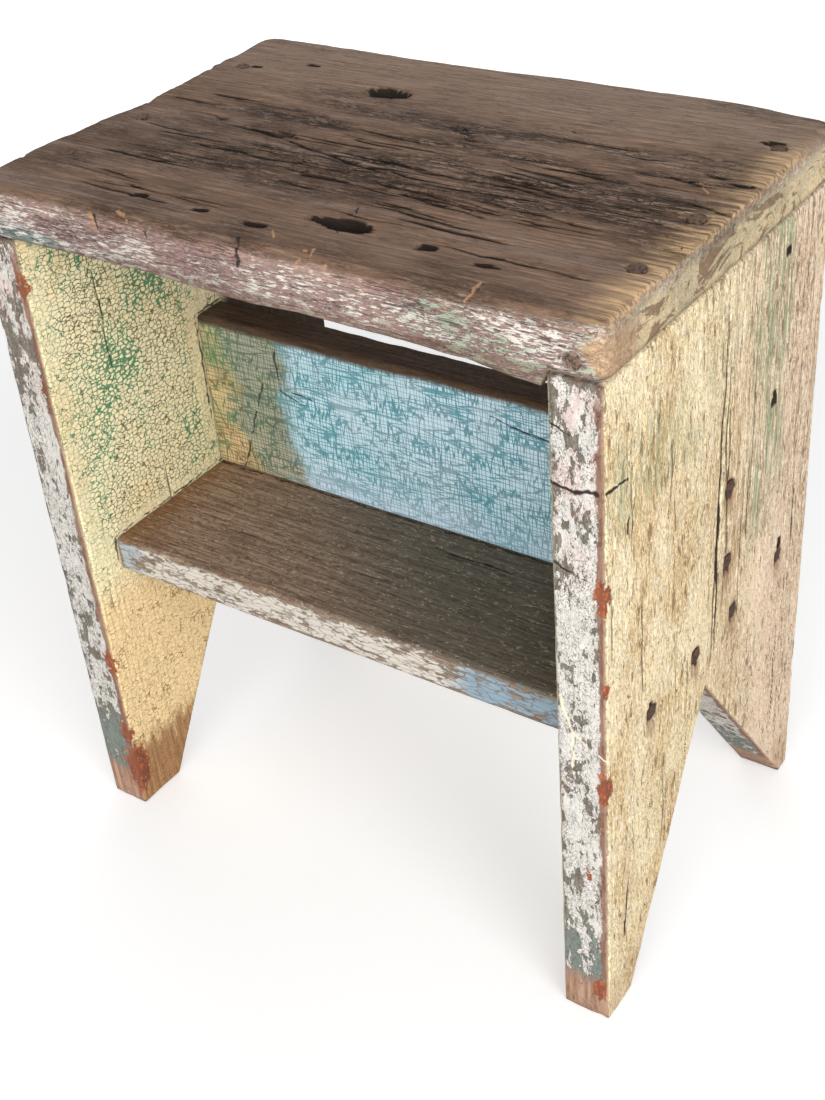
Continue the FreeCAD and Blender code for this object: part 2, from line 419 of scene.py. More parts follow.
class Signal:
    """A node's output. Sums of signals lay further nodes, so a pattern reads as a formula."""

    def __init__(self, socket: bpy.types.NodeSocket) -> None:
        """Holds the output's socket."""
        self.socket = socket

    def lay(self, kind: str, feeds: Feeds, out: int | str = 0, **settings: object) -> "Signal":
        """Lays one node in the tree that this signal is in.

        Args:
            kind: The node's type.
            feeds: What each input takes: a signal, or a plain value.
            out: Which output is wanted.
            settings: The node's own settings.

        Returns:
            That output.
        """
        return Signal(lay(self.socket.id_data, kind, feeds, **settings).outputs[out])

    def math(self, operation: str, first: object, second: object = 0.0) -> "Signal":
        """Works out one sum."""
        return self.lay("ShaderNodeMath", {0: first, 1: second}, operation=operation)

    def __add__(self, other: object) -> "Signal":
        """Adds."""
        return self.math("ADD", self, other)

    def __radd__(self, other: object) -> "Signal":
        """Adds to a plain value."""
        return self.math("ADD", other, self)

    def __sub__(self, other: object) -> "Signal":
        """Takes away."""
        return self.math("SUBTRACT", self, other)

    def __rsub__(self, other: object) -> "Signal":
        """Takes away from a plain value: 1 - mask turns a mask inside out."""
        return self.math("SUBTRACT", other, self)

    def __mul__(self, other: object) -> "Signal":
        """Multiplies, or joins masks so that all must hold."""
        return self.math("MULTIPLY", self, other)

    def __truediv__(self, other: object) -> "Signal":
        """Divides."""
        return self.math("DIVIDE", self, other)

    def __rtruediv__(self, other: object) -> "Signal":
        """Divides a plain value."""
        return self.math("DIVIDE", other, self)

    def __or__(self, other: object) -> "Signal":
        """Takes the stronger of two masks."""
        return self.math("MAXIMUM", self, other)

    def __abs__(self) -> "Signal":
        """Drops the sign."""
        return self.math("ABSOLUTE", self)

    def fade(self, low: object, high: object, bottom: float = 0.0, top: float = 1.0) -> "Signal":
        """Fades softly from bottom, where the signal is low, to top, where it is high."""
        feeds = {"Value": self, "From Min": low, "From Max": high, "To Min": bottom, "To Max": top}
        return self.lay("ShaderNodeMapRange", feeds, interpolation_type="SMOOTHSTEP")

    def vector(self, operation: str, other: object = (0, 0, 0), key: int | str = 1, out: int = 0) -> "Signal":
        """Works out one sum of vectors, of which this signal is the first."""
        return self.lay("ShaderNodeVectorMath", {0: self, key: other}, out, operation=operation)

    def dot(self, other: "Signal") -> "Signal":
        """Multiplies two vectors into one number."""
        return self.vector("DOT_PRODUCT", other, out=1)

    def length(self) -> "Signal":
        """Measures a vector."""
        return self.vector("LENGTH", out=1)

    def scaled(self, amount: object) -> "Signal":
        """Makes a vector longer or shorter."""
        return self.vector("SCALE", amount, "Scale")

    def parts(self) -> list["Signal"]:
        """Splits a place into its x, y and z."""
        first = self.lay("ShaderNodeSeparateXYZ", {0: self})
        return [Signal(socket) for socket in first.socket.node.outputs]

    def stretch(
        self, x: float = 1.0, y: float = 1.0, z: float = 1.0, shift: Triple = (0, 0, 0), turn: float = 0.0,
    ) -> "Signal":
        """Squeezes a place along each axis, so that a pattern on it is drawn out.

        Args:
            x: The squeeze along X.
            y: The squeeze along Y.
            z: The squeeze along Z.
            shift: How far the pattern is shifted.
            turn: How far it is turned about Y, in radians.

        Returns:
            The squeezed place.
        """
        feeds = {"Vector": self, "Location": shift, "Rotation": (0.0, turn, 0.0), "Scale": (x, y, z)}
        return self.lay("ShaderNodeMapping", feeds)

    def noise(self, size: float, detail: float = 3.0, rough: float = 0.55, warp: float = 0.0) -> "Signal":
        """Lays cloudy noise whose coarsest patches are about size millimetres across."""
        return self.grain(1000 / size, detail, rough, warp)

    def grain(
        self, scale: object, detail: float, rough: float = 0.5, warp: float = 0.0, out: int = 0,
    ) -> "Signal":
        """Lays noise of a given scale.

        Args:
            scale: The scale.
            detail: How many finer layers it has.
            rough: How strong those are.
            warp: How far it is twisted.
            out: 0 for its value, 1 for its colour.

        Returns:
            The noise.
        """
        feeds = {"Vector": self, "Scale": scale, "Detail": detail, "Roughness": rough, "Distortion": warp}
        return self.lay("ShaderNodeTexNoise", feeds, out)

    def mask(self, name: str) -> "Signal":
        """Reads one of the carved masks."""
        return self.lay("ShaderNodeAttribute", {}, "Fac", attribute_name=name)


Signals = tuple[Signal, ...]
Layers = tuple[Signal, Signal, Signal]


def lay(tree: bpy.types.NodeTree, kind: str, feeds: Feeds, **settings: object) -> bpy.types.Node:
    """Lays one node in a tree.

    Args:
        tree: The node tree.
        kind: The node's type.
        feeds: What each input takes: a signal, or a plain value.
        settings: The node's own settings.

    Returns:
        The node.
    """
    node = tree.nodes.new(kind)
    for name, setting in settings.items():
        setattr(node, name, setting)
    for key, feed in feeds.items():
        if isinstance(feed, Signal):
            tree.links.new(feed.socket, node.inputs[key])
        else:
            node.inputs[key].default_value = feed
    return node


def cleared(owner: bpy.types.Material | bpy.types.World) -> bpy.types.NodeTree:
    """Readies a material or world for nodes.

    Args:
        owner: The material or world.

    Returns:
        Its node tree, empty.
    """
    owner.use_nodes = True
    owner.node_tree.nodes.clear()
    return owner.node_tree


def mix(amount: Signal, first: Signal | Colour, second: Signal | Colour) -> Signal:
    """Mixes two colours: the first where the amount is 0, the second where it is 1."""
    return amount.lay("ShaderNodeMix", {0: amount, 6: first, 7: second}, 2, data_type="RGBA")


class Effect:
    """A shared node group with named sockets, built once."""

    name = "effect"
    takes: dict[str, float | Triple] = {}
    gives: tuple[str, ...] = ()

    def group(self) -> bpy.types.NodeTree:
        """Finds the group, or builds it the first time.

        Returns:
            The node group.
        """
        found = bpy.data.node_groups.get(self.name)
        if found:
            return found
        tree = bpy.data.node_groups.new(self.name, "ShaderNodeTree")
        tree.interface.new_socket("Place", in_out="INPUT", socket_type="NodeSocketVector")
        for title, usual in self.takes.items():
            kind = "NodeSocketVector" if isinstance(usual, tuple) else "NodeSocketFloat"
            tree.interface.new_socket(title, in_out="INPUT", socket_type=kind).default_value = usual
        for title in self.gives:
            tree.interface.new_socket(title, in_out="OUTPUT", socket_type="NodeSocketFloat")
        sockets = lay(tree, "NodeGroupInput", {}).outputs
        outs = self.wire(*(Signal(sockets[title]) for title in ("Place", *self.takes)))
        lay(tree, "NodeGroupOutput", dict(zip(self.gives, outs)))
        return tree

    def wire(self, place: Signal, *values: Signal) -> Signals:
        """Lays the group's nodes. Each effect has its own.

        Args:
            place: The coordinates that the pattern follows.
            values: The group's other inputs, in the order of takes.

        Returns:
            One signal for each thing that the group gives.
        """
        raise NotImplementedError

    def on(self, place: Signal, **values: object) -> list[Signal]:
        """Puts the group into a material.

        Args:
            place: The coordinates that its pattern follows.
            values: What its other inputs take, by name.

        Returns:
            Its outputs, in order.
        """
        feeds = {"Place": place} | {name.title(): value for name, value in values.items()}
        node = lay(place.socket.id_data, "ShaderNodeGroup", feeds, node_tree=self.group())
        return [Signal(socket) for socket in node.outputs]


class Crackle(Effect):
    """Alligatored paint: a net of shrinkage cracks, with finer ones inside its cells."""

    name = "crackle"
    takes = {"Size": 3.0, "Width": 0.08, "Warp": 0.5, "Jitter": 0.9, "Fine": 0.0}
    gives = ("Crack", "Cell")

    def wire(self, place: Signal, *values: Signal) -> Signals:
        """Lays two nets of cells over warped coordinates. See Effect."""
        size, width, warp, jitter, fine = values
        scale = 1000.0 / size
        wobble = place.grain(scale, 2.0, out=1).vector("SUBTRACT", HALF)
        spot = place.vector("ADD", wobble.scaled(size * (warp * MM)))
        nets = []
        for finer, share in ((1.0, 1.0), (2.3, 0.8)):
            feeds = {"Vector": spot, "Scale": scale * finer, "Randomness": jitter}
            edge = spot.lay("ShaderNodeTexVoronoi", feeds, "Distance", feature="DISTANCE_TO_EDGE")
            thin = width * share
            nets.append(edge.fade(thin, thin * 0.25))
        patchy = place.noise(9.0, 3.0).fade(0.42, 0.58)
        feeds = {"Vector": spot, "Scale": scale, "Randomness": jitter}
        cell = spot.lay("ShaderNodeTexVoronoi", feeds, "Color")
        return nets[0] | nets[1] * patchy * fine, cell.lay("ShaderNodeSeparateColor", {0: cell})


class Flakes(Effect):
    """Paint that has flaked off in ragged chips."""

    name = "flakes"
    takes = {"Size": 8.0, "Loss": 0.5}
    gives = ("Paint", "Rim")

    def wire(self, place: Signal, size: Signal, loss: Signal) -> Signals:
        """Thresholds rough noise, so that paint stays where it is above the loss. See Effect."""
        over = place.grain(1000.0 / size, 8.0, 0.68) - loss
        return over.fade(-0.006, 0.012), over.fade(-0.03, 0.0) * over.fade(0.04, 0.01)


class Fibres(Effect):
    """Weathered wood fibres drawn out along the grain."""

    name = "fibres"
    takes = {"Size": 2.5, "Open": 0.02}
    gives = ("Streak", "Broad", "Split")

    def wire(self, place: Signal, size: Signal, gape: Signal) -> Signals:
        """Lays fine streaks, broad bands and thin splits. See Effect."""
        scale = 1000.0 / size
        streak = place.grain(scale, 6.0, 0.7, 0.15)
        ridge = abs(place.grain(scale * 0.55, 5.0, 0.6) - 0.5)
        return streak.fade(0.3, 0.7), place.noise(14.0, 3.0, 0.6, 0.6), ridge.fade(gape, gape * 0.25)


class Stroke(Effect):
    """One straight scratch or crack, thinner towards its end."""

    name = "stroke"
    takes = {"Start": (0.0, 0.0, 0.0), "Run": (0.01, 0.0, 0.0), "Width": 0.6}
    gives = ("Mask",)
    SHAKES = 160.0
    TREMBLE = 4.0 * MM

    def wire(self, place: Signal, start: Signal, run: Signal, width: Signal) -> Signals:
        """Measures how far each point is from the line. See Effect."""
        away = place.vector("SUBTRACT", start)
        share = away.lay("ShaderNodeClamp", {"Value": away.dot(run) / run.dot(run)})
        gap = away.vector("SUBTRACT", run.scaled(share)).length()
        half = width * share.fade(0.0, 1.0, 0.55 * MM, 0.35 * MM)
        return (gap.fade(half, half * 0.4),)

    def many(self, place: Signal, strokes: tuple[Scratch, ...]) -> Signal:
        """Lays several strokes as one mask, with one tremble for all.

        Args:
            place: The piece's own coordinates.
            strokes: The strokes.

        Returns:
            The mask.
        """
        tremble = place.grain(self.SHAKES, 3.0, out=1).vector("SUBTRACT", HALF)
        shaken = place.vector("ADD", tremble.scaled(self.TREMBLE))
        masks = []
        for item in strokes:
            start = tuple(v * MM for v in item.start)
            run = tuple((b - a) * MM for a, b in zip(item.start, item.end))
            masks += self.on(shaken, start=start, run=run, width=item.width)
        return functools.reduce(operator.or_, masks)


CRACKLE, FLAKES, FIBRES, STROKE = Crackle(), Flakes(), Fibres(), Stroke()


@dataclass(frozen=True)
class Finish:
    """One material: its name, its slot, how rough it is, and the dark seams on it."""

    name: str
    slot: str
    smoothest: float = 0.6
    roughest: float = 0.92
    relief: float = 0.6
    seam: Colour = tone(40, 30, 24)
    seams: tuple[Scratch, ...] = ()

    def material(self) -> bpy.types.Material:
        """Builds the material around the layers that each finish lays.

        Returns:
            The finished material.
        """
        made = bpy.data.materials.new(self.name)
        tree = cleared(made)
        place = Signal(lay(tree, "ShaderNodeTexCoord", {}).outputs["Object"])
        colour, rough, height = self.layers(place)
        # The seams are dark joint lines that also paint the contact shade where boards meet.
        if self.seams:
            colour = mix(STROKE.many(place, self.seams) * 0.9, colour, self.seam)
        bump = height.lay("ShaderNodeBump", {"Height": height, "Strength": 1.0, "Distance": self.relief * MM})
        roughness = rough.fade(0.0, 1.0, self.smoothest, self.roughest)
        feeds = {"Base Color": colour, "Roughness": roughness, "Normal": bump, "Specular IOR Level": 0.3}
        shader = bump.lay("ShaderNodeBsdfPrincipled", feeds)
        lay(tree, "ShaderNodeOutputMaterial", {"Surface": shader})
        return made

    def layers(self, place: Signal) -> Layers:
        """Lays the finish's colour, roughness and height. Each finish has its own.

        Args:
            place: The piece's own coordinates.

        Returns:
            The colour, the roughness from 0 to 1, and the height from 0 to 1.
        """
        raise NotImplementedError


@dataclass(frozen=True)
class SeatFinish(Finish):
    """Bare, weathered seat wood, with old paint left on its front edge and right end."""

    browns: tuple[Colour, ...] = (tone(152, 122, 101), tone(116, 90, 72), tone(166, 143, 124))
    lilac: Colour = tone(152, 134, 126)
    black: Colour = tone(26, 19, 15)
    tan: Colour = tone(226, 190, 146)
    mauve: Colour = tone(118, 94, 93)
    pink: Colour = tone(176, 142, 138)
    flake: Colour = tone(236, 226, 216)
    mint: Colour = tone(176, 184, 162)
    teal: Colour = tone(92, 122, 120)
    cream: Colour = tone(240, 216, 172)
    gouges: tuple[Scratch, ...] = trails(
        (3.0, (-88, -110, 376.5), (-85.5, -111.3, 373.8), (-84.3, -111.6, 370.5)),
        (2.4, (-73.5, -106.4, 378.6), (-66.5, -109.5, 376.5)),
        (2.0, (-30.3, -101.4, 378.8), (-22.8, -104.5, 378.7)),
        (1.6, (2.3, -95, 378.6), (7.2, -102, 378.8)),
        (2.4, (25.7, -104.3, 378.4), (26.3, -109.4, 375.9), (24.3, -111.5, 372.1)),
        (1.8, (28.3, -102, 378.6), (31, -108, 378)),
        (2.2, (40.1, -109.8, 376.7), (39.7, -111.5, 372.1)),
        (1.6, (89.8, -110.6, 375.6), (94.5, -111, 374.7)),
        (2.0, (96.1, -111.5, 373.2), (97.2, -111.5, 369.3)),
        (2.2, (105.5, -100.5, 378.6), (107, -107.8, 378), (105.6, -110.9, 374.9)),
        (2.0, (138, 20, 378), (146, 12, 378)),
        (1.6, (62.5, -111.6, 361.8), (65.1, -111.6, 364.1)),
    )
    splits: tuple[Scratch, ...] = trails(
        (3.0, (-7.9, -106.9, 378.5), (-5.6, -110.1, 376.1), (-4.6, -111.7, 372.8), (-5.5, -111.4, 367)),
        (1.6, (-58.5, -109.5, 376.6), (-56.6, -110.7, 374.3), (-55, -111.6, 371.7)),
        (1.6, (-85.6, -110, 376.5), (-82.6, -111.6, 371)),
        (1.4, (27.6, -104.3, 378.4), (28, -109.4, 375.9)),
        (1.4, (107.4, -101, 378.6), (108.8, -107.8, 378), (107.4, -110.9, 374.9)),
        (0.9, (133, -112, 358.7), (147, -112, 360)),
        (0.9, (120.5, -112, 352.4), (124.4, -112, 359.7)),
        (1.6, (12, 35, 378), (18, 31, 378)),
        (1.4, (18, 31, 378), (19, 25, 378)),
        (1.2, (19, 25, 378), (27, 21, 378)),
        (1.2, (60, 50, 378), (70, 46, 378)),
        (1.4, (20, -60, 378), (24, -68, 378)),
        (0.9, (27, -84, 378), (34, -96, 378)),
        (1.0, (62, -48, 378), (72, -40, 378)),
        (0.9, (-118, -30, 378), (-104, -24, 378)),
        (0.9, (-92, -62, 378), (-72, -64, 378)),
        (1.4, (160, -40, 378), (165, -44, 364)),
        (1.4, (162, 36, 378), (165, 30, 362)),
    )

    def layers(self, place: Signal) -> Layers:
        """Lays the seat's wood, then the paint that is left. See Finish."""
        x, y, z = place.parts()
        streak, broad, split = FIBRES.on(place.stretch(0.055), size=2.2)
        wood, splits = self.top_wood(place, streak, broad)
        fray = place.stretch(0.2).noise(5.0, 6.0, 0.7) * 0.012
        rim = place.mask("rim").fade(0.1, 0.5)
        front = (z + fray).fade(0.3835, 0.379) * rim
        edge, paint = self.front_edge(place, streak, split)
        colour = mix(front, wood, edge)
        end = place.mask("end") * x.fade(0.15, 0.158) * z.fade(0.377, 0.368)
        grain = self.end_grain(place)
        corner = (y + place.noise(9.0, 5.0) * 0.03).fade(-0.062, -0.082)
        rubbed = mix(streak, tone(150, 116, 90), tone(212, 176, 140))
        colour = mix(end, colour, mix(corner * 0.85, grain, rubbed))
        colour = mix(z.fade(0.358, 0.3545) * 0.5, colour, self.browns[1])
        colour = mix(STROKE.many(place, self.gouges) * 0.85, colour, tone(200, 154, 114))
        dark = place.mask("crack").fade(0.1, 0.6) | STROKE.many(place, self.splits) * 0.9
        colour = mix(dark * 0.95, colour, self.black)
        height = streak * 0.35 + broad * 0.4 - splits * 0.9 + front * paint * 0.35
        return colour, streak.fade(0.0, 1.0, 1.0, 0.6), height

    def top_wood(self, place: Signal, streak: Signal, broad: Signal) -> tuple[Signal, Signal]:
        """Lays brown wood, black splits close together along the middle, and the dry right end.

        Args:
            place: The piece's own coordinates.
            streak: The wood's fine streaks.
            broad: The wood's broad bands.

        Returns:
            The colour and the splits.
        """
        x, y, z = place.parts()
        cloud = place.stretch(0.45).noise(60.0, 3.0)
        wood = mix(cloud.fade(0.35, 0.65), self.browns[0], self.browns[1])
        wood = mix(y.fade(0.02, 0.1) * 0.75, wood, self.browns[2])
        wood = mix((1 - streak) * 0.25, wood, self.browns[1])
        wood = mix(broad.fade(0.48, 0.7) * 0.45, wood, self.lilac)
        band = y.fade(-0.075, -0.045) * y.fade(0.075, 0.03) * x.fade(-0.165, -0.08)
        patch = place.stretch(0.25).noise(20.0, 5.0).fade(0.38, 0.62, 0.15, 0.95)
        fine, _, split = FIBRES.on(place.stretch(0.05, shift=(0.2, 0.3, 0.0)), size=1.5, open=0.034)
        _, _, thin = FIBRES.on(place.stretch(0.09, shift=(0.5, 0.1, 0.0)), size=0.9, open=0.03)
        spread = place.noise(14.0, 4.0).fade(0.4, 0.6)
        wood = mix(fine.fade(0.62, 0.82) * 0.3, wood, tone(190, 162, 140))
        wood = mix(fine.fade(0.4, 0.15) * 0.35, wood, tone(82, 62, 48))
        wood = mix(thin * spread * 0.5, wood, tone(60, 44, 34))
        hatch, chips = CRACKLE.on(place.stretch(0.32), size=3.0, width=0.07, warp=2.6, fine=0.6)
        nicks, lips = FLAKES.on(place.stretch(0.2, shift=(0.3, 0.1, 0.6)), size=2.0, loss=0.64)
        where = band * patch | cloud.fade(0.48, 0.6) * 0.4 | 0.14
        wood = mix(chips.fade(0.66, 0.9) * where * 0.5, wood, tone(184, 158, 138))
        wood = mix(chips.fade(0.3, 0.1) * where * 0.4, wood, tone(74, 56, 45))
        wood = mix(lips * where * 0.6, wood, tone(196, 168, 146))
        splits = (split | thin | hatch * 0.85 | nicks) * where
        wood = mix(splits, wood, self.black)
        ragged = place.stretch(0.16).noise(7.0, 6.0, 0.7)
        dry = (x + ragged * 0.04).fade(0.163, 0.184) * z.fade(0.352, 0.366) * streak.fade(0.15, 0.8, 0.2, 1.0)
        dry = dry * y.fade(0.09, 0.05) * y.fade(-0.112, -0.095, 0.5, 1.0)
        return mix(dry, wood, self.tan), splits

    def front_edge(self, place: Signal, streak: Signal, split: Signal) -> tuple[Signal, Signal]:
        """Lays mauve wood under dashes of white, pink scribbles and, to the right, mint.

        Args:
            place: The piece's own coordinates.
            streak: The wood's fine streaks.
            split: The wood's thin splits.

        Returns:
            The colour and where paint is left.
        """
        x, _, z = place.parts()
        smear = place.stretch(0.24, 0.9, 0.9)
        tilt = place.stretch(0.3, turn=0.9)
        cloud = place.stretch(0.4).noise(18.0, 4.0)
        edge = mix(cloud.fade(0.38, 0.62), self.mauve, tone(146, 122, 110))
        edge = mix(streak * 0.35, edge, tone(170, 148, 134))
        scribble, _ = FLAKES.on(place.stretch(0.6, shift=(0.1, 0.0, 0.4)), size=1.4, loss=0.51)
        edge = mix(scribble * 0.75, edge, self.pink)
        hairs = FIBRES.on(place.stretch(0.07, shift=(0.7, 0.2, 0.1)), size=1.1, open=0.035)[2]
        edge = mix(hairs * z.fade(0.366, 0.373) * 0.6, edge, tone(216, 178, 154))
        upper = z.fade(0.3745, 0.366, 0.62, 0.565) + cloud.fade(0.35, 0.65, 0.05, -0.06)
        upper = upper - x.fade(-0.03, -0.12, 0.0, 0.052)
        dashes, _ = FLAKES.on(smear.stretch(0.7), size=0.85, loss=upper)
        edge = mix(dashes * 0.88, edge, self.flake)
        right = (x + cloud * 0.08).fade(0.095, 0.135)
        strokes, _ = FLAKES.on(tilt, size=2.0, loss=right.fade(0.0, 1.0, 0.9, 0.515))
        edge = mix(strokes, edge, mix(cloud.fade(0.52, 0.66), self.mint, self.flake))
        scratch = abs(tilt.noise(3.4, 3.0) - 0.5).fade(0.012, 0.002)
        edge = mix(scratch * right * 0.85, edge, tone(74, 64, 56))
        low = x.fade(-0.06, -0.13) * z.fade(0.366, 0.359)
        edge = mix(low * cloud.fade(0.42, 0.56) * 0.8, edge, self.teal)
        white, _ = FLAKES.on(smear.stretch(shift=(0.3, 0.2, 0.7)), size=1.8, loss=0.53)
        edge = mix(white * low, edge, tone(244, 240, 232))
        strip = z.fade(0.3615, 0.3575) * x.fade(-0.16, -0.1) * (1 - right)
        edge = mix(white * strip * 0.75, edge, tone(204, 202, 184))
        edge = mix(split * 0.75, edge, tone(66, 50, 45))
        return edge, dashes | strokes

    def end_grain(self, place: Signal) -> Signal:
        """Lays the right end face: cream and pale green with dark, rippled end grain.

        Args:
            place: The piece's own coordinates.

        Returns:
            The colour.
        """
        scribble = place.stretch(y=0.5).noise(7.0, 6.0, 0.7, 1.2)
        face = mix(scribble.fade(0.42, 0.6), self.cream, tone(222, 206, 172))
        ripples = place.stretch(1.0, 0.8, 0.45).noise(3.0, 3.0, 0.6, 2.0)
        face = mix(abs(ripples - 0.5).fade(0.02, 0.004) * 0.7, face, tone(112, 94, 70))
        patch = place.stretch(y=0.5).noise(16.0, 6.0, 0.7, 0.8)
        face = mix(patch.fade(0.52, 0.56), face, tone(156, 130, 102))
        return mix(patch.fade(0.4, 0.36), face, tone(176, 140, 106))


@dataclass(frozen=True)
class EndFinish(Finish):
    """End board: crackled cream inside, streaked cream outside, chipped white on its edges."""

    side: Side = Side.LEFT
    cream: Colour = tone(255, 241, 196)
    warm: Colour = tone(254, 224, 170)
    outer: Colour = tone(252, 233, 190)
    gold: Colour = tone(244, 212, 158)
    blush: Colour = tone(246, 218, 188)
    brown: Colour = tone(124, 92, 62)
    olive: Colour = tone(92, 88, 50)
    green: Colour = tone(62, 134, 94)
    moss: Colour = tone(132, 160, 122)
    white: Colour = tone(226, 221, 213)
    grey: Colour = tone(104, 98, 88)
    pink: Colour = tone(224, 202, 194)
    rust: Colour = tone(118, 80, 64)
    orange: Colour = tone(190, 106, 66)
    bared: float = 0.12
    chipped: float = 0.4
    dark_strokes: tuple[Scratch, ...] = ()
    pale_strokes: tuple[Scratch, ...] = ()

    def layers(self, place: Signal) -> Layers:
        """Lays the inner, outer and edge paints and joins them. See Finish."""
        z = place.parts()[2]
        streak, _, split = FIBRES.on(place.stretch(z=0.06), size=2.0)
        ragged = place.stretch(z=0.35).noise(7.0, 6.0, 0.65)
        inner, crack, cells = self.inner_paint(place, streak)
        outer, mottle = self.outer_paint(place, streak, split)
        within = place.mask("inner")
        colour = mix(within, outer, inner)
        foot = (z + (ragged * 0.06 - within * 0.014)).fade(0.066, 0.046) * within.fade(0.0, 1.0, 0.3, 0.9)
        colour = mix(foot, colour, mix(streak, tone(128, 86, 54), tone(188, 138, 90)))
        edge, paint = self.edge_paint(place, streak, ragged)
        narrow = place.mask("edge")
        colour = mix(narrow, colour, edge)
        line = place.mask("arris").fade(0.8, 0.97) * ragged.fade(0.44, 0.54) * 0.8
        colour = mix(line, colour, self.rust)
        crumbs = place.stretch(z=0.7).noise(3.0, 6.0, 0.7)
        spot = (place.mask("orange") + crumbs * 3.2).fade(2.08, 2.16)
        scorched = mix(crumbs.fade(0.5, 0.62), tone(138, 80, 56), self.orange)
        colour = mix(spot, colour, mix(streak.fade(0.5, 0.2, 0.0, 0.6), scorched, tone(120, 72, 52)))
        dark = place.mask("crack").fade(0.12, 0.6)
        if self.dark_strokes:
            dark = dark | STROKE.many(place, self.dark_strokes)
        if self.pale_strokes:
            colour = mix(STROKE.many(place, self.pale_strokes), colour, tone(240, 226, 200))
        colour = mix(dark, colour, tone(52, 38, 30))
        height = streak * 0.3 - (1 - narrow) * mix(within, mottle, crack) * 0.5
        height = height + narrow * paint * 0.5 - (line | spot | foot) * 0.3
        return colour, cells.fade(0.0, 1.0, 0.5, 0.95), height

    def inner_paint(self, place: Signal, streak: Signal) -> Layers:
        """Lays the alligatored cream of the inner face, its cracks widest over the green coat.

        Args:
            place: The piece's own coordinates.
            streak: The wood's fine streaks.

        Returns:
            The colour, the cracks and the shade of each cell.
        """
        _, y, z = place.parts()
        low = z.fade(0.165, 0.13)
        drift = place.stretch(z=0.45, shift=(0.2, 0.4, 0.1)).noise(24.0, 5.0, 0.6)
        green = drift.fade(0.47, 0.62) * (1 - low) * y.fade(-0.092, -0.07)
        calm = y.fade(-0.018, -0.008) | y.fade(-0.095, -0.106) | z.fade(0.186, 0.18)
        calm = calm * place.noise(9.0, 4.0).fade(0.3, 0.5)
        width = (0.083 + green * 0.13) * calm.fade(0.0, 1.0, 1.0, 0.55)
        crack, cells = CRACKLE.on(place.stretch(1.0, 0.8, 1.2), size=2.7, width=width, warp=0.8, jitter=0.8)
        tint = place.noise(45.0, 3.0)
        paint = mix(low | tint.fade(0.5, 0.7) * 0.5, self.cream, self.warm)
        paint = mix(cells * 0.06, paint, self.brown)
        under = mix(drift.fade(0.43, 0.54), self.olive, self.green)
        under = mix(low, under, tone(150, 112, 66))
        paint = mix(crack * calm.fade(0.0, 1.0, 0.95, 0.55), paint, under)
        fleck = place.stretch(z=0.3).noise(3.0, 5.0, 0.65)
        flecks = fleck.fade(0.36, 0.31) * low.fade(0.0, 1.0, 0.7, 0.9)
        paint = mix(flecks, paint, self.brown)
        # Painted shade: behind the stretcher and under the seat, the inner face turns to dark wood grain.
        painted_shade_behind = y.fade(0.012, 0.024) * z.fade(0.17, 0.2)
        return mix(painted_shade_behind, paint, mix(streak, tone(70, 56, 44), tone(104, 86, 68))), crack, cells

    def outer_paint(self, place: Signal, streak: Signal, split: Signal) -> tuple[Signal, Signal]:
        """Lays the finely crazed cream of the outer face, golden in front and pinker behind.

        Args:
            place: The piece's own coordinates.
            streak: The wood's fine streaks.
            split: The wood's thin splits.

        Returns:
            The colour and the relief.
        """
        _, y, z = place.parts()
        cloud = place.stretch(z=0.5).noise(34.0, 4.0)
        paint = mix(y.fade(-0.02, 0.07), self.outer, self.blush)
        golden = cloud.fade(0.42, 0.62) * y.fade(0.0, -0.05)
        paint = mix(golden * 0.8, paint, self.gold)
        width = cloud.fade(0.35, 0.65, 0.06, 0.14)
        craze, cells = CRACKLE.on(place.stretch(z=0.3), size=1.5, width=width, warp=2.6)
        paint = mix(cells.fade(0.55, 0.9, 0.0, 0.4), paint, tone(255, 246, 220))
        paint = mix(craze * 0.6, paint, tone(160, 120, 80))
        fleck = place.stretch(z=0.24).noise(2.6, 7.0, 0.72, 0.4)
        crisp = cloud.fade(0.38, 0.62, 0.395, 0.44)
        dark = fleck.fade(crisp, crisp - 0.025)
        paint = mix(dark * 0.8, paint, self.brown)
        paint = mix(fleck.fade(0.57, 0.6) * 0.55, paint, tone(255, 248, 224))
        rear = y.fade(-0.03, 0.01) * z.fade(0.16, 0.22)
        paint = mix(split * rear * 0.7, paint, tone(96, 76, 52))
        worn = y.fade(-0.032, -0.008) * y.fade(0.036, 0.016) * z.fade(0.32, 0.27)
        paint = mix(worn * streak.fade(0.25, 0.8) * 0.45, paint, tone(206, 164, 120))
        zone = y.fade(0.015, 0.035) * y.fade(0.075, 0.055) * z.fade(0.17, 0.24)
        band = z.fade(0.27, 0.29) * z.fade(0.335, 0.31) * y.fade(0.0, -0.03) * 0.6
        tinge = (zone | band | 0.08) * cloud.fade(0.4, 0.52) * streak.fade(0.3, 0.75)
        paint = mix(tinge * 0.75, paint, self.moss)
        halo = place.mask("stain") + fleck * 3.0
        paint = mix(halo.fade(1.7, 2.4) * 0.6, paint, tone(140, 98, 66))
        return paint, craze | dark

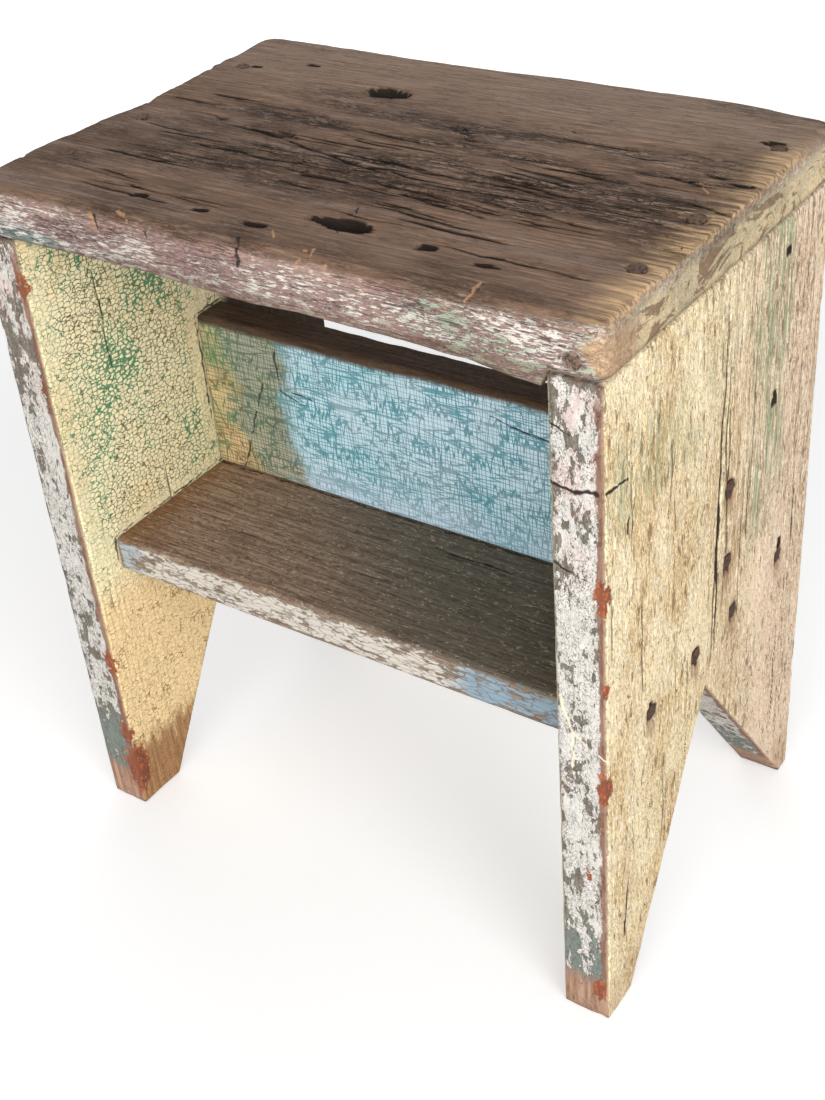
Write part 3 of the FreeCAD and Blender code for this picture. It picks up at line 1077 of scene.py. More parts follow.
    def edge_paint(self, place: Signal, streak: Signal, ragged: Signal) -> tuple[Signal, Signal]:
        """Lays the chipped white paint of the narrow edges, and the rust band along one side.

        Args:
            place: The piece's own coordinates.
            streak: The wood's fine streaks.
            ragged: Noise that roughens every border.

        Returns:
            The colour and where paint is left.
        """
        x, _, z = place.parts()
        low = z.fade(0.085, 0.045)
        upper = z.fade(0.24, 0.31)
        rubbed = place.mask("arris").fade(0.4, 1.0, 0.0, 0.1)
        patchy = place.stretch(z=0.6, shift=(0.1, 0.5, 0.2)).noise(13.0, 4.0, 0.6)
        lost = (low * self.bared | upper * 0.03) + patchy.fade(0.5, 0.64, 0.0, 0.09)
        paint, rim = FLAKES.on(place.stretch(z=0.5), size=4.2, loss=self.chipped + rubbed + lost)
        crack, cells = CRACKLE.on(place.stretch(z=0.7), size=2.1, width=0.085, warp=2.6, jitter=1.0, fine=0.5)
        crack = crack * patchy.fade(0.36, 0.52, 0.3, 1.0)
        dash = place.stretch(z=0.2).noise(1.9, 6.0, 0.72).fade(0.405, 0.37)
        wood = mix(streak, self.grey, tone(152, 140, 126))
        wood = mix(low * 0.7, wood, tone(126, 142, 136))
        white = mix(upper * ragged.fade(0.45, 0.58) * 0.9, self.white, self.pink)
        white = mix(cells * 0.12, white, self.grey)
        colour = mix(paint, wood, white)
        colour = mix(crack * 0.75, colour, tone(80, 75, 66))
        colour = mix(dash * 0.8, colour, tone(96, 90, 80))
        colour = mix(rim * 0.35, colour, tone(80, 70, 60))
        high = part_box(f"{self.side.name.lower()}_end_board")[1][0]
        band = (high - x + ragged * -0.011).fade(-0.0007, -0.0019) * z.fade(0.355, 0.34)
        colour = mix(band * 0.9, colour, mix(streak, self.rust, tone(150, 112, 92)))
        foot = (z + ragged * 0.014).fade(0.037, 0.026)
        return mix(foot, colour, mix(streak, tone(140, 102, 80), tone(190, 156, 132))), paint


@dataclass(frozen=True)
class ShelfFinish(Finish):
    """Shelf: dark rubbed wood, greyer towards its right rear in a painted shadow, with scraps of old grey
    paint, and a chipped pale front edge.
    """

    def layers(self, place: Signal) -> Layers:
        """Lays the shelf's wood, scraps and front paint. See Finish."""
        x, y, _ = place.parts()
        streak, _, split = FIBRES.on(place.stretch(0.07), size=1.6)
        cloud = place.stretch(0.6).noise(40.0, 4.0)
        brown = mix(streak, tone(116, 88, 69), tone(178, 150, 128))
        # The greyer, darker copy of the wood, faded in diagonally towards the right rear, is painted shadow
        # of the right end board.
        dark = mix(streak, tone(92, 82, 70), tone(126, 116, 102))
        lean = x + y * 0.8 + cloud * 0.06
        wood = mix(lean.fade(-0.09, 0.04), brown, dark)
        left = (x + cloud * 0.03).fade(-0.1, -0.13)
        wood = mix(left * streak.fade(0.0, 1.0, 0.95, 0.6), wood, tone(134, 92, 52))
        scrap, _ = FLAKES.on(place.stretch(0.6), size=1.8, loss=0.56)
        wood = mix(scrap * 0.6, wood, tone(82, 70, 58))
        wood = mix(split * 0.3, wood, tone(62, 50, 38))
        pale, _ = FLAKES.on(place.stretch(0.5, shift=(0.4, 0.4, 0.0)), size=1.6, loss=0.6)
        wood = mix(pale * 0.6, wood, tone(206, 184, 160))
        edge, paint = self.front_edge(place, x, cloud, streak)
        rim = place.mask("rim")
        colour = mix(rim, wood, edge)
        colour = mix(place.mask("crack").fade(0.15, 0.7), colour, tone(34, 27, 22))
        height = streak * 0.45 + rim * paint * 0.4
        return colour, streak.fade(0.0, 1.0, 1.0, 0.6), height

    def front_edge(self, place: Signal, x: Signal, cloud: Signal, streak: Signal) -> tuple[Signal, Signal]:
        """Lays worn white paint with cracks along the grain, turning blue at the right.

        Args:
            place: The piece's own coordinates.
            x: Its x.
            cloud: Broad noise.
            streak: The wood's fine streaks.

        Returns:
            The colour and where paint is left.
        """
        loss = place.mask("arris").fade(0.4, 1.0, 0.45, 0.56)
        paint, _ = FLAKES.on(place.stretch(0.3), size=3.6, loss=loss)
        # The blue-grey at the ends is old blue paint; at the right it is made darker as painted shade.
        blue = (x + cloud * 0.05).fade(0.09, 0.115)
        left = (x + cloud * 0.04).fade(-0.095, -0.115)
        white = mix(blue | left * 0.7, tone(214, 206, 194), tone(146, 168, 182))
        wood = mix(streak, tone(122, 104, 88), tone(166, 148, 132))
        edge = mix(paint, wood, white)
        crack, _ = CRACKLE.on(place.stretch(0.25), size=2.4, width=0.08, warp=1.0)
        return mix(crack * 0.6, edge, tone(110, 90, 70)), paint


@dataclass(frozen=True)
class StretcherFinish(Finish):
    """Stretcher: pale blue paint in a fine square crackle, tan and green at its left end."""

    marks: tuple[Scratch, ...] = trails(
        (1.6, (-99, -5, 236), (-106, -5, 217), (-113, -5, 198)),
        (1.8, (-113, -5, 198), (-120, -5, 178)),
        (1.8, (-88, -5, 258), (-87, -5, 234)),
        (1.6, (-87, -5, 234), (-72, -5, 230)),
        (0.9, (-104, -5, 212), (-86, -5, 208)),
    )

    def layers(self, place: Signal) -> Layers:
        """Lays the stretcher's paints. See Finish."""
        x, _, z = place.parts()
        cloud = place.stretch(0.7).noise(34.0, 4.0)
        teal = place.stretch(shift=(0.3, 0.0, 0.1)).noise(24.0, 5.0, 0.62)
        wide = teal.fade(0.42, 0.68, 0.085, 0.125)
        upright, cells = CRACKLE.on(place.stretch(z=0.1), size=1.9, width=wide, warp=0.3)
        level, _ = CRACKLE.on(place.stretch(0.1, shift=(0.1, 0.2, 0.3)), size=2.2, width=wide, warp=0.3)
        crack = upright | level * 0.9
        blue = mix(cloud.fade(0.4, 0.65), tone(206, 232, 243), tone(188, 224, 234))
        blue = mix(z.fade(0.205, 0.182) * 0.6, blue, tone(214, 236, 254))
        line = mix(teal.fade(0.4, 0.6), tone(88, 128, 140), tone(72, 142, 156))
        stain = teal.fade(0.3, 0.6, 0.7, 0.95) * z.fade(0.205, 0.182, 1.0, 0.72)
        blue = mix(crack * stain, blue, line)
        # Painted shadow: a grey-teal band laid over the left part of the blue.
        blue = mix((x + cloud * 0.05).fade(-0.045, -0.062) * 0.6, blue, tone(118, 142, 138))
        left = (x + (cloud * 0.05 + teal * 0.04)).fade(-0.034, -0.045)
        paint = mix(left, blue, self.left_end(place, cloud, teal, crack))
        streak = FIBRES.on(place.stretch(0.07), size=1.8)[0]
        wood = mix(streak, tone(60, 44, 33), tone(98, 76, 58))
        bare = (z + cloud * 0.006).fade(0.2645, 0.2685)
        colour = mix(bare | place.mask("rim").fade(0.6, 1.0), paint, wood)
        dark = place.mask("crack").fade(0.15, 0.7) | STROKE.many(place, self.marks) * 0.85
        colour = mix(dark, colour, tone(36, 44, 44))
        height = streak * 0.3 - crack * 0.4
        return colour, cells.fade(0.0, 1.0, 0.4, 0.9), height

    def left_end(self, place: Signal, cloud: Signal, teal: Signal, crack: Signal) -> Signal:
        """Lays the tan and green paint of the left end, and the painted grey shadow between it and the blue.

        Args:
            place: The piece's own coordinates.
            cloud: Broad noise.
            teal: The noise that spreads the stain.
            crack: The net of cracks.

        Returns:
            The colour.
        """
        x, _, z = place.parts()
        tan = mix(cloud.fade(0.4, 0.6), tone(212, 186, 139), tone(178, 167, 123))
        foot = z.fade(0.206, 0.184)
        edge = x + (teal - 0.5) * 0.06 - foot * 0.012
        # The grey between the tan and the blue is painted shadow, lighter at the foot; the cracks in it turn
        # grey too.
        grey = edge.fade(-0.126, -0.114) * teal.fade(0.4, 0.6, 0.95, 0.7)
        tan = mix(grey, tan, mix(foot, tone(154, 162, 146), tone(182, 178, 160)))
        under = mix(teal.fade(0.4, 0.52), tone(104, 88, 56), tone(70, 120, 84))
        under = mix(grey * 0.8, under, tone(74, 94, 88))
        return mix(crack * 0.9, tan, under)


class Iron(Enum):
    """How the nails have worn, each with its iron, its rust and its pits."""

    NAIL = (tone(74, 60, 54), tone(104, 68, 50), tone(36, 27, 24))
    RUBBED = (tone(112, 92, 78), tone(124, 92, 70), tone(58, 44, 36))
    PAINTED = (tone(150, 128, 114), tone(132, 104, 88), tone(74, 58, 50))


@dataclass(frozen=True)
class IronFinish(Finish):
    """Nail iron, dull with old rust."""

    wear: Iron = Iron.NAIL

    def layers(self, place: Signal) -> Layers:
        """Lays rust over dark iron. See Finish."""
        grit = place.noise(1.6, 6.0, 0.7)
        patch = place.noise(5.0, 4.0)
        iron, rust, pitted = self.wear.value
        colour = mix(patch.fade(0.4, 0.6), iron, rust)
        return mix(grit.fade(0.55, 0.4), colour, pitted), grit, grit


# ---- planks -----------------------------------------------------------------------------

SHORTEST = 4.5 * MM
CLOSE = 1e-5
ARRIS_REACH = 7.0
MASK_LAP = 0.35
EVERYWHERE = (-1.0, 1.0)


def block(bm: bmesh.types.BMesh, low: Vector, high: Vector) -> None:
    """Starts a board as a plain block.

    Args:
        bm: The mesh.
        low: The block's low corner, in metres.
        high: Its high corner.
    """
    bmesh.ops.create_cube(bm, size=1.0)
    bmesh.ops.scale(bm, vec=high - low, verts=bm.verts)
    bmesh.ops.translate(bm, vec=(high + low) / 2, verts=bm.verts)


def ease(bm: bmesh.types.BMesh, arrises: list[bmesh.types.BMEdge], offset: float) -> None:
    """Planes a small bevel, whose offset is in millimetres, along arrises."""
    size = {"offset": offset * MM, "offset_type": "OFFSET", "segments": 3, "profile": 0.5}
    bmesh.ops.bevel(bm, geom=arrises, affect="EDGES", material=-1, clamp_overlap=True, **size)


def slice_edges(bm: bmesh.types.BMesh, axis: Axis, cuts: int, zone: Pair = EVERYWHERE) -> None:
    """Cuts every edge that runs mostly along an axis into equal lengths.

    Args:
        bm: The mesh.
        axis: The direction.
        cuts: How many cuts each edge gets.
        zone: Limits this to edges whose middles lie between two heights, in metres.
    """
    chosen = []
    for edge in bm.edges:
        first, second = (vert.co for vert in edge.verts)
        run = second - first
        if run.length < SHORTEST or max(range(3), key=lambda i: abs(run[i])) != axis.value:
            continue
        if zone[0] <= (first.z + second.z) / 2 <= zone[1]:
            chosen.append(edge)
    bmesh.ops.subdivide_edges(bm, edges=chosen, cuts=cuts, use_grid_fill=True)


@dataclass
class Plank:
    """One sawn board, sliced finely enough to be carved."""

    node: str
    piece: str
    finish: Finish
    seed: int
    cuts: tuple[int, int, int]
    bevel: float = 2.0
    low: Vector = field(init=False)
    high: Vector = field(init=False)

    def __post_init__(self) -> None:
        """Reads the board's place from its solid."""
        self.low, self.high = (Vector(corner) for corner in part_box(self.node))

    def blank(self) -> bmesh.types.BMesh:
        """Planes a plain board with small bevels and slices it along all three axes.

        Returns:
            The sliced board.
        """
        bm = bmesh.new()
        block(bm, self.low, self.high)
        ease(bm, bm.edges[:], self.bevel)
        for axis in Axis:
            slice_edges(bm, axis, self.cuts[axis.value])
        return bm

    def carve(self, carver: Carver) -> None:
        """Carves the board's wear. Each board has its own.

        Args:
            carver: The board being carved.
        """
        raise NotImplementedError

    def faces(self, carver: Carver) -> np.ndarray:
        """Gives how far each point lies from each of the board's faces, one column a face."""
        return np.column_stack([carver.base - carver.low, carver.high - carver.base])

    def mark_arris(self, carver: Carver) -> None:
        """Marks what lies near an arris, from 1 on it to 0 where its wear ends."""
        away = np.sort(self.faces(carver), axis=1)[:, 1]
        carver.masks["arris"] = np.clip(1 - away / ARRIS_REACH, 0.0, 1.0)

    def mark(self, carver: Carver, name: str, near: np.ndarray, far: np.ndarray, blur: float = 2.5) -> None:
        """Marks what lies nearer to one set of faces than to another.

        Args:
            carver: The board being carved.
            name: The mask's name.
            near: How far each point lies from the faces that the mask is for.
            far: How far it lies from the others.
            blur: How wide the mask's border is, in millimetres.
        """
        carver.masks[name] = np.clip((far - near) / blur + MASK_LAP, 0.0, 1.0)

    def build(self) -> None:
        """Makes the piece, hides its plain solid and rides it on the stool."""
        bm = self.blank()
        bmesh.ops.recalc_face_normals(bm, faces=bm.faces)
        for face in bm.faces:
            face.smooth = True
        mesh = bpy.data.meshes.new(self.piece)
        bm.to_mesh(mesh)
        bm.free()
        carver = Carver(mesh, self.seed)
        self.carve(carver)
        carver.keep()
        made = add(self.piece, mesh)
        mesh.materials.append(self.finish.material())
        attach(made, ROOT)
        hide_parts(self.node)
        LOG.info("%s: %d faces", self.piece, len(mesh.polygons))


@dataclass
class SeatPlank(Plank):
    """The seat: dished, deeply checked, worn back at its left end and along its edges."""

    pits: tuple[Pit, ...] = (
        Pit(-49, 61, 12, 7, 6.5, 0.0, 0.75),
        Pit(27, -77.5, 11.5, 6.2, 8),
        Pit(15, -76.5, 8, 3.2, 4, 0.1),
        Pit(-77.6, -89.7, 4.5, 2.2, 2.2, 0.3),
        Pit(-39.5, -91.8, 4, 1.8, 1.3),
        Pit(-8.4, -93.8, 5, 2.6, 2.6),
        Pit(69.3, -82.2, 4, 3.2, 2.2),
        Pit(100, -87.2, 5, 1.8, 1.8),
        Pit(-65.3, -2.5, 6.5, 4.5, 2, 0.0, 0.45),
        Pit(-105.2, 1.3, 6, 2.6, 1.2, 0.0, 0.3),
        Pit(-139.6, 68, 3.5, 1.8, 1),
        Pit(-110, 81, 3.5, 1.8, 1),
        Pit(149.6, 70.8, 5, 3, 2.6),
        Pit(155.9, 23.9, 4, 2.2, 2.2),
        Pit(142.9, 28.8, 6, 2.2, 1.6, 0.0, 0.6),
        *(Pit(x, y, 4.6, 4.6, 1.6, 0.0, 0.25) for x in (153, -147) for y in (-64, -13, 67)),
    )
    checks: tuple[Check, ...] = (
        Check(-158, 17, 40, 2.6, 3.0, -0.02),
        Check(-104, -17, 95, 1.5, 2.0, -0.03),
        Check(-88, -2, 110, 1.8, 2.4, -0.22),
        Check(10, -33, 45, 2.4, 2.8, -0.1),
        Check(20, -40, 60, 1.5, 2.0, -0.12),
        Check(36, -63, 66, 2.8, 2.6, -0.02),
        Check(118, 23, 28, 1.8, 2.2, -0.2),
        Check(140, 0, 24, 1.6, 2.0, -0.15),
        Check(8, 38, 18, 1.6, 1.6, -0.9),
        Check(-60, 18, 70, 1.4, 1.8, -0.1),
    )

    @property
    def corners(self) -> dict[tuple[bool, bool], float]:
        """The radius of each corner of the outline, by whether it is at the right and at the rear."""
        return {(False, True): 7.0, (True, True): 11.0, (True, False): 9.0, (False, False): 6.0}

    def carve(self, carver: Carver) -> None:
        """Carves the seat. See Plank."""
        base = carver.base
        x, y = base[:, 0], base[:, 1]
        ripple = carver.ripple
        faces = self.faces(carver)
        upper = np.minimum(faces[:, 2], faces[:, 5])
        self.mark(carver, "rim", faces[:, (0, 1, 3, 4)].min(axis=1), upper)
        self.mark(carver, "end", faces[:, 3], upper)
        self.mark_arris(carver)
        top = carver.facing(Axis.Z, 1)
        under = carver.facing(Axis.Z, -1)
        carver.swell(0.5, (70.0, 45.0, 40.0))
        middle = np.exp(-(((y + 20) / 60) ** 2)) * smooth(-165, -60, x)
        ridges = 1 - np.abs(ripple.at(base, (60.0, 3.4, 9.0)))
        carver.cut += top * (1 - ridges) * (0.25 + 0.9 * middle)
        carver.cut += (top + under) * 0.25 * ripple.layered(base, (30.0, 2.0, 5.0), 2)
        carver.cut += top * 0.8 * middle
        self.cut_checks(carver, top, under)
        for pit in self.pits:
            carver.hollow(pit, top, Axis.X, Axis.Y)
        front = carver.facing(Axis.Y, -1)
        carver.hollow(Pit(151, 361, 4.6, 4.6, 1.4, 0.0, 0.5), front, Axis.X, Axis.Z)
        carver.cut += front * (0.9 * np.abs(ripple.layered(base, (26.0, 9.0, 5.0), 3)))
        carver.apply()
        self.wear_edges(carver)

    def cut_checks(self, carver: Carver, top: np.ndarray, under: np.ndarray) -> None:
        """Cuts the long checks of the top, closest together along the middle, and a few below.

        Args:
            carver: The board being carved.
            top: How far each point belongs to the top.
            under: How far it belongs to the underside.
        """
        for check in self.checks:
            carver.groove(check, top, Axis.X, Axis.Y)
        draw = carver.random.uniform
        for _ in range(90):
            centre = carver.random.normal(-16.0, 34.0)
            length = draw(14.0, 75.0)
            start = draw(-150.0, 158.0 - length)
            width = draw(0.8, 1.7)
            depth = draw(0.5, 1.9) * (0.5 if start < -100 else 1.0)
            carver.groove(Check(start, centre, length, width, depth, draw(-0.1, 0.03)), top, Axis.X, Axis.Y)
        for _ in range(26):
            check = carver.stray((30.0, 130.0), (-165.0, 165.0), (-105.0, 105.0), 1.4, (0.5, 1.4))
            carver.groove(check, under, Axis.X, Axis.Y)

    def wear_edges(self, carver: Carver) -> None:
        """Wears the arrises round and gives the seat its uneven outline.

        Args:
            carver: The board being carved.
        """
        ripple = carver.ripple
        base = carver.base
        rough = ripple.layered(base, (13.0, 13.0, 13.0), 3)
        chips = np.clip(ripple.at(base, (9.0, 9.0, 9.0)) * 2 - 0.5, 0.0, 1.0)
        long_edge = 5.0 + 2.2 * rough + 3.5 * chips
        end_edge = 4.0 + 2.0 * rough + 4.0 * chips
        for high, radius in ((False, long_edge + 2.5), (True, 2.4 + 1.2 * rough + 2.0 * chips)):
            carver.round_off((Axis.Y, high), (Axis.Z, True), radius)
            carver.round_off((Axis.Y, high), (Axis.Z, False), np.maximum(2.2 + 1.2 * rough, 0.6))
            carver.round_off((Axis.X, high), (Axis.Z, True), end_edge)
            carver.round_off((Axis.X, high), (Axis.Z, False), np.maximum(1.6 + rough, 0.5))
        for (right, rear), radius in self.corners.items():
            carver.round_off((Axis.X, right), (Axis.Y, rear), radius, plan=True)
        x, y = carver.points[:, 0], carver.points[:, 1]
        places = (-112, -60, -40, -27, -16, 0, 13, 40, 55, 66, 85, 99, 112)
        worn = np.interp(base[:, 1], places, (0, 0, 2.5, 2.4, 4.2, 7.4, 6.0, 5.2, 2.8, 2.0, 2.4, 1.0, 1.8))
        ragged = np.clip(ripple.layered(base * [0, 1, 0], (1.0, 16.0, 1.0), 3), -0.3, 1.0)
        worn = worn + 0.9 * ragged * smooth(-100, -60, base[:, 1])
        carver.points[:, 0] = x + np.maximum(worn, 0) * np.clip(1 - (x - carver.low[0]) / 70, 0.0, 1.0) ** 2
        spots = (-62, -42, -20, 0, 14, 24, 52, 84, 98, 109, 115, 120, 129, 138)
        drops = (0, 1.0, 2.2, 3.0, 2.2, 1.7, 2.1, 2.8, 3.5, 4.0, 4.8, 5.6, 6.8, 7.2)
        bulge = np.interp(base[:, 0], spots, drops)
        bulge = bulge * smooth(139.3, 137.8, carver.points[:, 0]) * smooth(-96, -104, base[:, 1])
        bulge = bulge * (1 + 0.1 * ripple.at(base * [1, 0, 0], (9.0, 1.0, 1.0)))
        carver.points[:, 2] -= bulge * smooth(374, 356, base[:, 2])
        # The bulge hangs below the sawn board, and keep() holds every point above this.
        carver.low[2] -= 8.0
        for item in self.finish.gouges + self.finish.splits:
            carver.dent(item, 0.35 * item.width * smooth(-90, -100, carver.points[:, 1]))
        spots = (-100, -71, -12, 19, 94, 116, 130, 140, 158)
        rear = np.interp(base[:, 0], spots, (0, 1.6, 2.2, 0.2, 0, 0.6, 2.2, 4.5, 7))
        carver.points[:, 1] = y - rear * np.clip(1 - (carver.high[1] - y) / 60, 0.0, 1.0) ** 2


@dataclass
class EndPlank(Plank):
    """An end board, notched at the foot into two legs."""

    side: Side = Side.LEFT
    apex: Pair = (-13.0, 139.5)
    feet: Pair = (-88.0, 92.0)
    storeys: tuple[int, int] = (54, 36)
    breadths: tuple[int, int] = (118, 132)
    oranges: tuple[Triple, ...] = ()
    checks: tuple[Check, ...] = ()
    pits: tuple[Pit, ...] = ()

    def blank(self) -> bmesh.types.BMesh:
        """Saws the board: a block down to the notch's top, and two legs drawn down from it.

        Returns:
            The sliced board.
        """
        bm = bmesh.new()
        apex_y, apex_z = self.apex[0] * MM, self.apex[1] * MM
        block(bm, Vector((self.low.x, self.low.y, apex_z)), self.high)
        whole = bm.verts[:] + bm.edges[:] + bm.faces[:]
        bmesh.ops.bisect_plane(bm, geom=whole, plane_co=(0, apex_y, 0), plane_no=(0, 1, 0))
        soles = [face for face in bm.faces if face.normal.z < -0.9]
        legs = bmesh.ops.extrude_discrete_faces(bm, faces=soles)["faces"]
        for leg in legs:
            centre = leg.calc_center_median().y
            outer = self.low.y if centre < apex_y else self.high.y
            toe = self.feet[0] * MM if centre < apex_y else self.feet[1] * MM
            for vert in leg.verts:
                vert.co.y = outer if abs(vert.co.y - outer) < CLOSE else toe
                vert.co.z = 0.0
        bmesh.ops.remove_doubles(bm, verts=bm.verts, dist=TINY)
        ease(bm, [edge for edge in bm.edges if self.is_arris(edge)], self.bevel)
        slice_edges(bm, Axis.X, self.cuts[0])
        slice_edges(bm, Axis.Z, self.storeys[0], (apex_z + 30 * MM, 1.0))
        slice_edges(bm, Axis.Z, self.storeys[1], (-1.0, apex_z - 20 * MM))
        self.slice_breadth(bm, apex_y)
        return bm

    def is_arris(self, edge: bmesh.types.BMEdge) -> bool:
        """Tells whether an edge of the sawn board is an arris that gets worn."""
        level = abs(edge.verts[0].co.x - edge.verts[1].co.x) < CLOSE
        return len(edge.link_faces) == 2 and edge.calc_face_angle(0.0) > 0.3 and level

    def slice_breadth(self, bm: bmesh.types.BMesh, apex_y: float) -> None:
        """Cuts the front and the rear part of the board across its breadth.

        Args:
            bm: The board.
            apex_y: Where the two parts meet.
        """
        for front, cuts in ((True, self.breadths[0]), (False, self.breadths[1])):
            chosen = []
            for edge in bm.edges:
                run = edge.verts[1].co - edge.verts[0].co
                middle = (edge.verts[0].co.y + edge.verts[1].co.y) / 2
                if abs(run.y) > SHORTEST and abs(run.y) > abs(run.z) and (middle < apex_y) == front:
                    chosen.append(edge)
            bmesh.ops.subdivide_edges(bm, edges=chosen, cuts=cuts, use_grid_fill=True)

    def faces(self, carver: Carver) -> np.ndarray:
        """Adds the notch's two slopes to the board's own faces. See Plank."""
        y, z = carver.base[:, 1], carver.base[:, 2]
        apex_y, apex_z = self.apex
        slopes = []
        for toe, sign in ((self.feet[0], -1.0), (self.feet[1], 1.0)):
            run, rise = apex_y - toe, apex_z
            length = math.hypot(run, rise)
            slopes.append(sign * ((y - toe) * rise - z * run) / length)
        notch = np.maximum(slopes[0], slopes[1])
        return np.column_stack([carver.base - carver.low, carver.high - carver.base, np.maximum(notch, 0.0)])

    def carve(self, carver: Carver) -> None:
        """Carves the end board. See Plank."""
        base = carver.base
        ripple = carver.ripple
        faces = self.faces(carver)
        across = np.minimum(faces[:, 0], faces[:, 3])
        self.mark(carver, "edge", faces[:, (1, 4, 2, 6)].min(axis=1), across, 2.0)
        carver.masks["inner"] = smooth(-2.0, 2.0, (faces[:, 3] - faces[:, 0]) * self.side.value)
        self.mark_arris(carver)
        carver.masks["orange"] = self.orange_spots(base)
        outwards = carver.facing(Axis.X, self.side.value)
        inwards = carver.facing(Axis.X, -self.side.value)
        carver.swell(0.45, (40.0, 45.0, 90.0))
        carver.cut += (outwards + inwards) * 0.3 * (0.5 + ripple.layered(base, (5.0, 2.2, 34.0), 2))
        for check in self.checks:
            carver.groove(check, outwards, Axis.Z, Axis.Y)
        for _ in range(34):
            check = carver.stray((16.0, 90.0), (0.0, 340.0), (-108.0, 100.0), (1.0, 1.6), (0.25, 0.7))
            carver.groove(check, outwards if carver.random.random() < 0.7 else inwards, Axis.Z, Axis.Y)
        for pit in self.pits:
            carver.hollow(pit, outwards, Axis.Y, Axis.Z)
        stain = np.zeros(len(base))
        for spot in ((-70, 167), (-25, 167), (15, 167), (68, 167), (6, 201), (6, 242)):
            carver.hollow(Pit(*spot, 4.8, 5.4, 1.6, 0.0, 0.6), outwards, Axis.Y, Axis.Z)
            away = np.hypot((base[:, 1] - spot[0]) / 10, (base[:, 2] - spot[1] + 4) / 20)
            stain = np.maximum(stain, outwards * (1 - smooth(0.0, 1.0, away)))
        carver.masks["stain"] = stain
        edges = np.maximum(carver.facing(Axis.Y, -1), carver.facing(Axis.Y, 1))
        carver.cut += edges * 0.8 * np.abs(ripple.layered(base, (9.0, 9.0, 30.0), 3))
        carver.apply()
        self.wear_edges(carver)

    def orange_spots(self, base: np.ndarray) -> np.ndarray:
        """Marks the patches where an old orange coat shows.

        Args:
            base: The board's points.

        Returns:
            The mask, 1 at each patch's middle.
        """
        mask = np.zeros(len(base))
        for x, z, reach in self.oranges:
            away = np.hypot(base[:, 0] - x, (base[:, 2] - z) * 0.42)
            away = np.hypot(away, (base[:, 1] + 111.0) * 0.8)
            mask = np.maximum(mask, 1 - smooth(0.3 * reach, 1.3 * reach, away))
        return mask

    def wear_edges(self, carver: Carver) -> None:
        """Wears the long arrises and the feet.

        Args:
            carver: The board being carved.
        """
        rough = carver.ripple.layered(carver.base, (14.0, 14.0, 22.0), 3)
        chips = np.clip(carver.ripple.at(carver.base, (8.0, 8.0, 16.0)) * 2 - 0.6, 0.0, 1.0)
        radius = np.maximum(3.0 + 1.6 * rough + 2.6 * chips, 1.0)
        below = smooth(346, 330, carver.base[:, 2])
        for right, rear in itertools.product((False, True), repeat=2):
            carver.round_off((Axis.X, right), (Axis.Y, rear), np.maximum(radius * below, 0.8))
        for face in itertools.product((Axis.X, Axis.Y), (False, True)):
            carver.round_off(face, (Axis.Z, False), np.maximum(2.5 + 2.0 * rough, 1.0))


@dataclass
class ShelfPlank(Plank):
    """The shelf: worn hollow along its front and chipped along its arris."""

    def carve(self, carver: Carver) -> None:
        """Carves the shelf. See Plank."""
        base = carver.base
        faces = self.faces(carver)
        self.mark(carver, "rim", np.minimum(faces[:, 1], faces[:, 4]), np.minimum(faces[:, 2], faces[:, 5]))
        self.mark_arris(carver)
        carver.swell(0.3, (60.0, 40.0, 40.0))
        level = carver.facing(Axis.Z, 1) + carver.facing(Axis.Z, -1)
        carver.cut += level * 0.12 * (0.5 + carver.ripple.layered(base, (18.0, 2.4, 5.0), 2))
        for _ in range(40):
            check = carver.stray((14.0, 70.0), (-139.0, 139.0), (-90.0, 80.0), 1.2, (0.2, 0.7))
            side = carver.facing(Axis.Z, 1 if carver.random.random() < 0.6 else -1)
            carver.groove(check, side, Axis.X, Axis.Y)
        for x in (-79.6, 0.0, 79.6):
            carver.hollow(Pit(x, 6.0, 4.5, 4.5, 1.5, 0.0, 0.5), carver.facing(Axis.Z, -1), Axis.X, Axis.Y)
        carver.apply()
        rough = carver.ripple.layered(base, (14.0, 12.0, 12.0), 3)
        chips = np.clip(carver.ripple.at(base, (12.0, 8.0, 8.0)) * 2 - 0.5, 0.0, 1.0)
        radius = np.maximum(3.6 + 1.6 * rough + 2.0 * chips, 1.0)
        for high in (False, True):
            carver.round_off((Axis.Y, high), (Axis.Z, True), radius)
            carver.round_off((Axis.Y, high), (Axis.Z, False), np.maximum(radius * 0.6, 1.0))


@dataclass
class StretcherPlank(Plank):
    """The stretcher: a board on edge, rubbed round along its top."""

    checks: tuple[Check, ...] = (
        Check(42, 254, 60, 1.4, 0.8, -0.16),
        Check(-80, 236, 14, 1.2, 0.8, -0.1),
        Check(-60, 214, 90, 0.9, 0.3, 0.02),
        Check(-20, 198, 120, 0.9, 0.3, -0.02),
    )

    def carve(self, carver: Carver) -> None:
        """Carves the stretcher. See Plank."""
        base = carver.base
        faces = self.faces(carver)
        self.mark(carver, "rim", faces[:, 5], np.minimum(faces[:, 1], faces[:, 4]))
        self.mark_arris(carver)
        carver.swell(0.3, (70.0, 40.0, 35.0))
        carver.groove(Check(-139, 249, 60, 1.2, 1.0, -0.2), carver.facing(Axis.Y, 1), Axis.X, Axis.Z)
        for check in self.checks:
            carver.groove(check, carver.facing(Axis.Y, -1), Axis.X, Axis.Z)
        carver.apply()
        rough = carver.ripple.layered(base, (16.0, 12.0, 12.0), 3)
        radius = np.maximum(4.0 + 1.8 * rough, 1.5)
        for high in (False, True):
            carver.round_off((Axis.Y, high), (Axis.Z, True), radius)


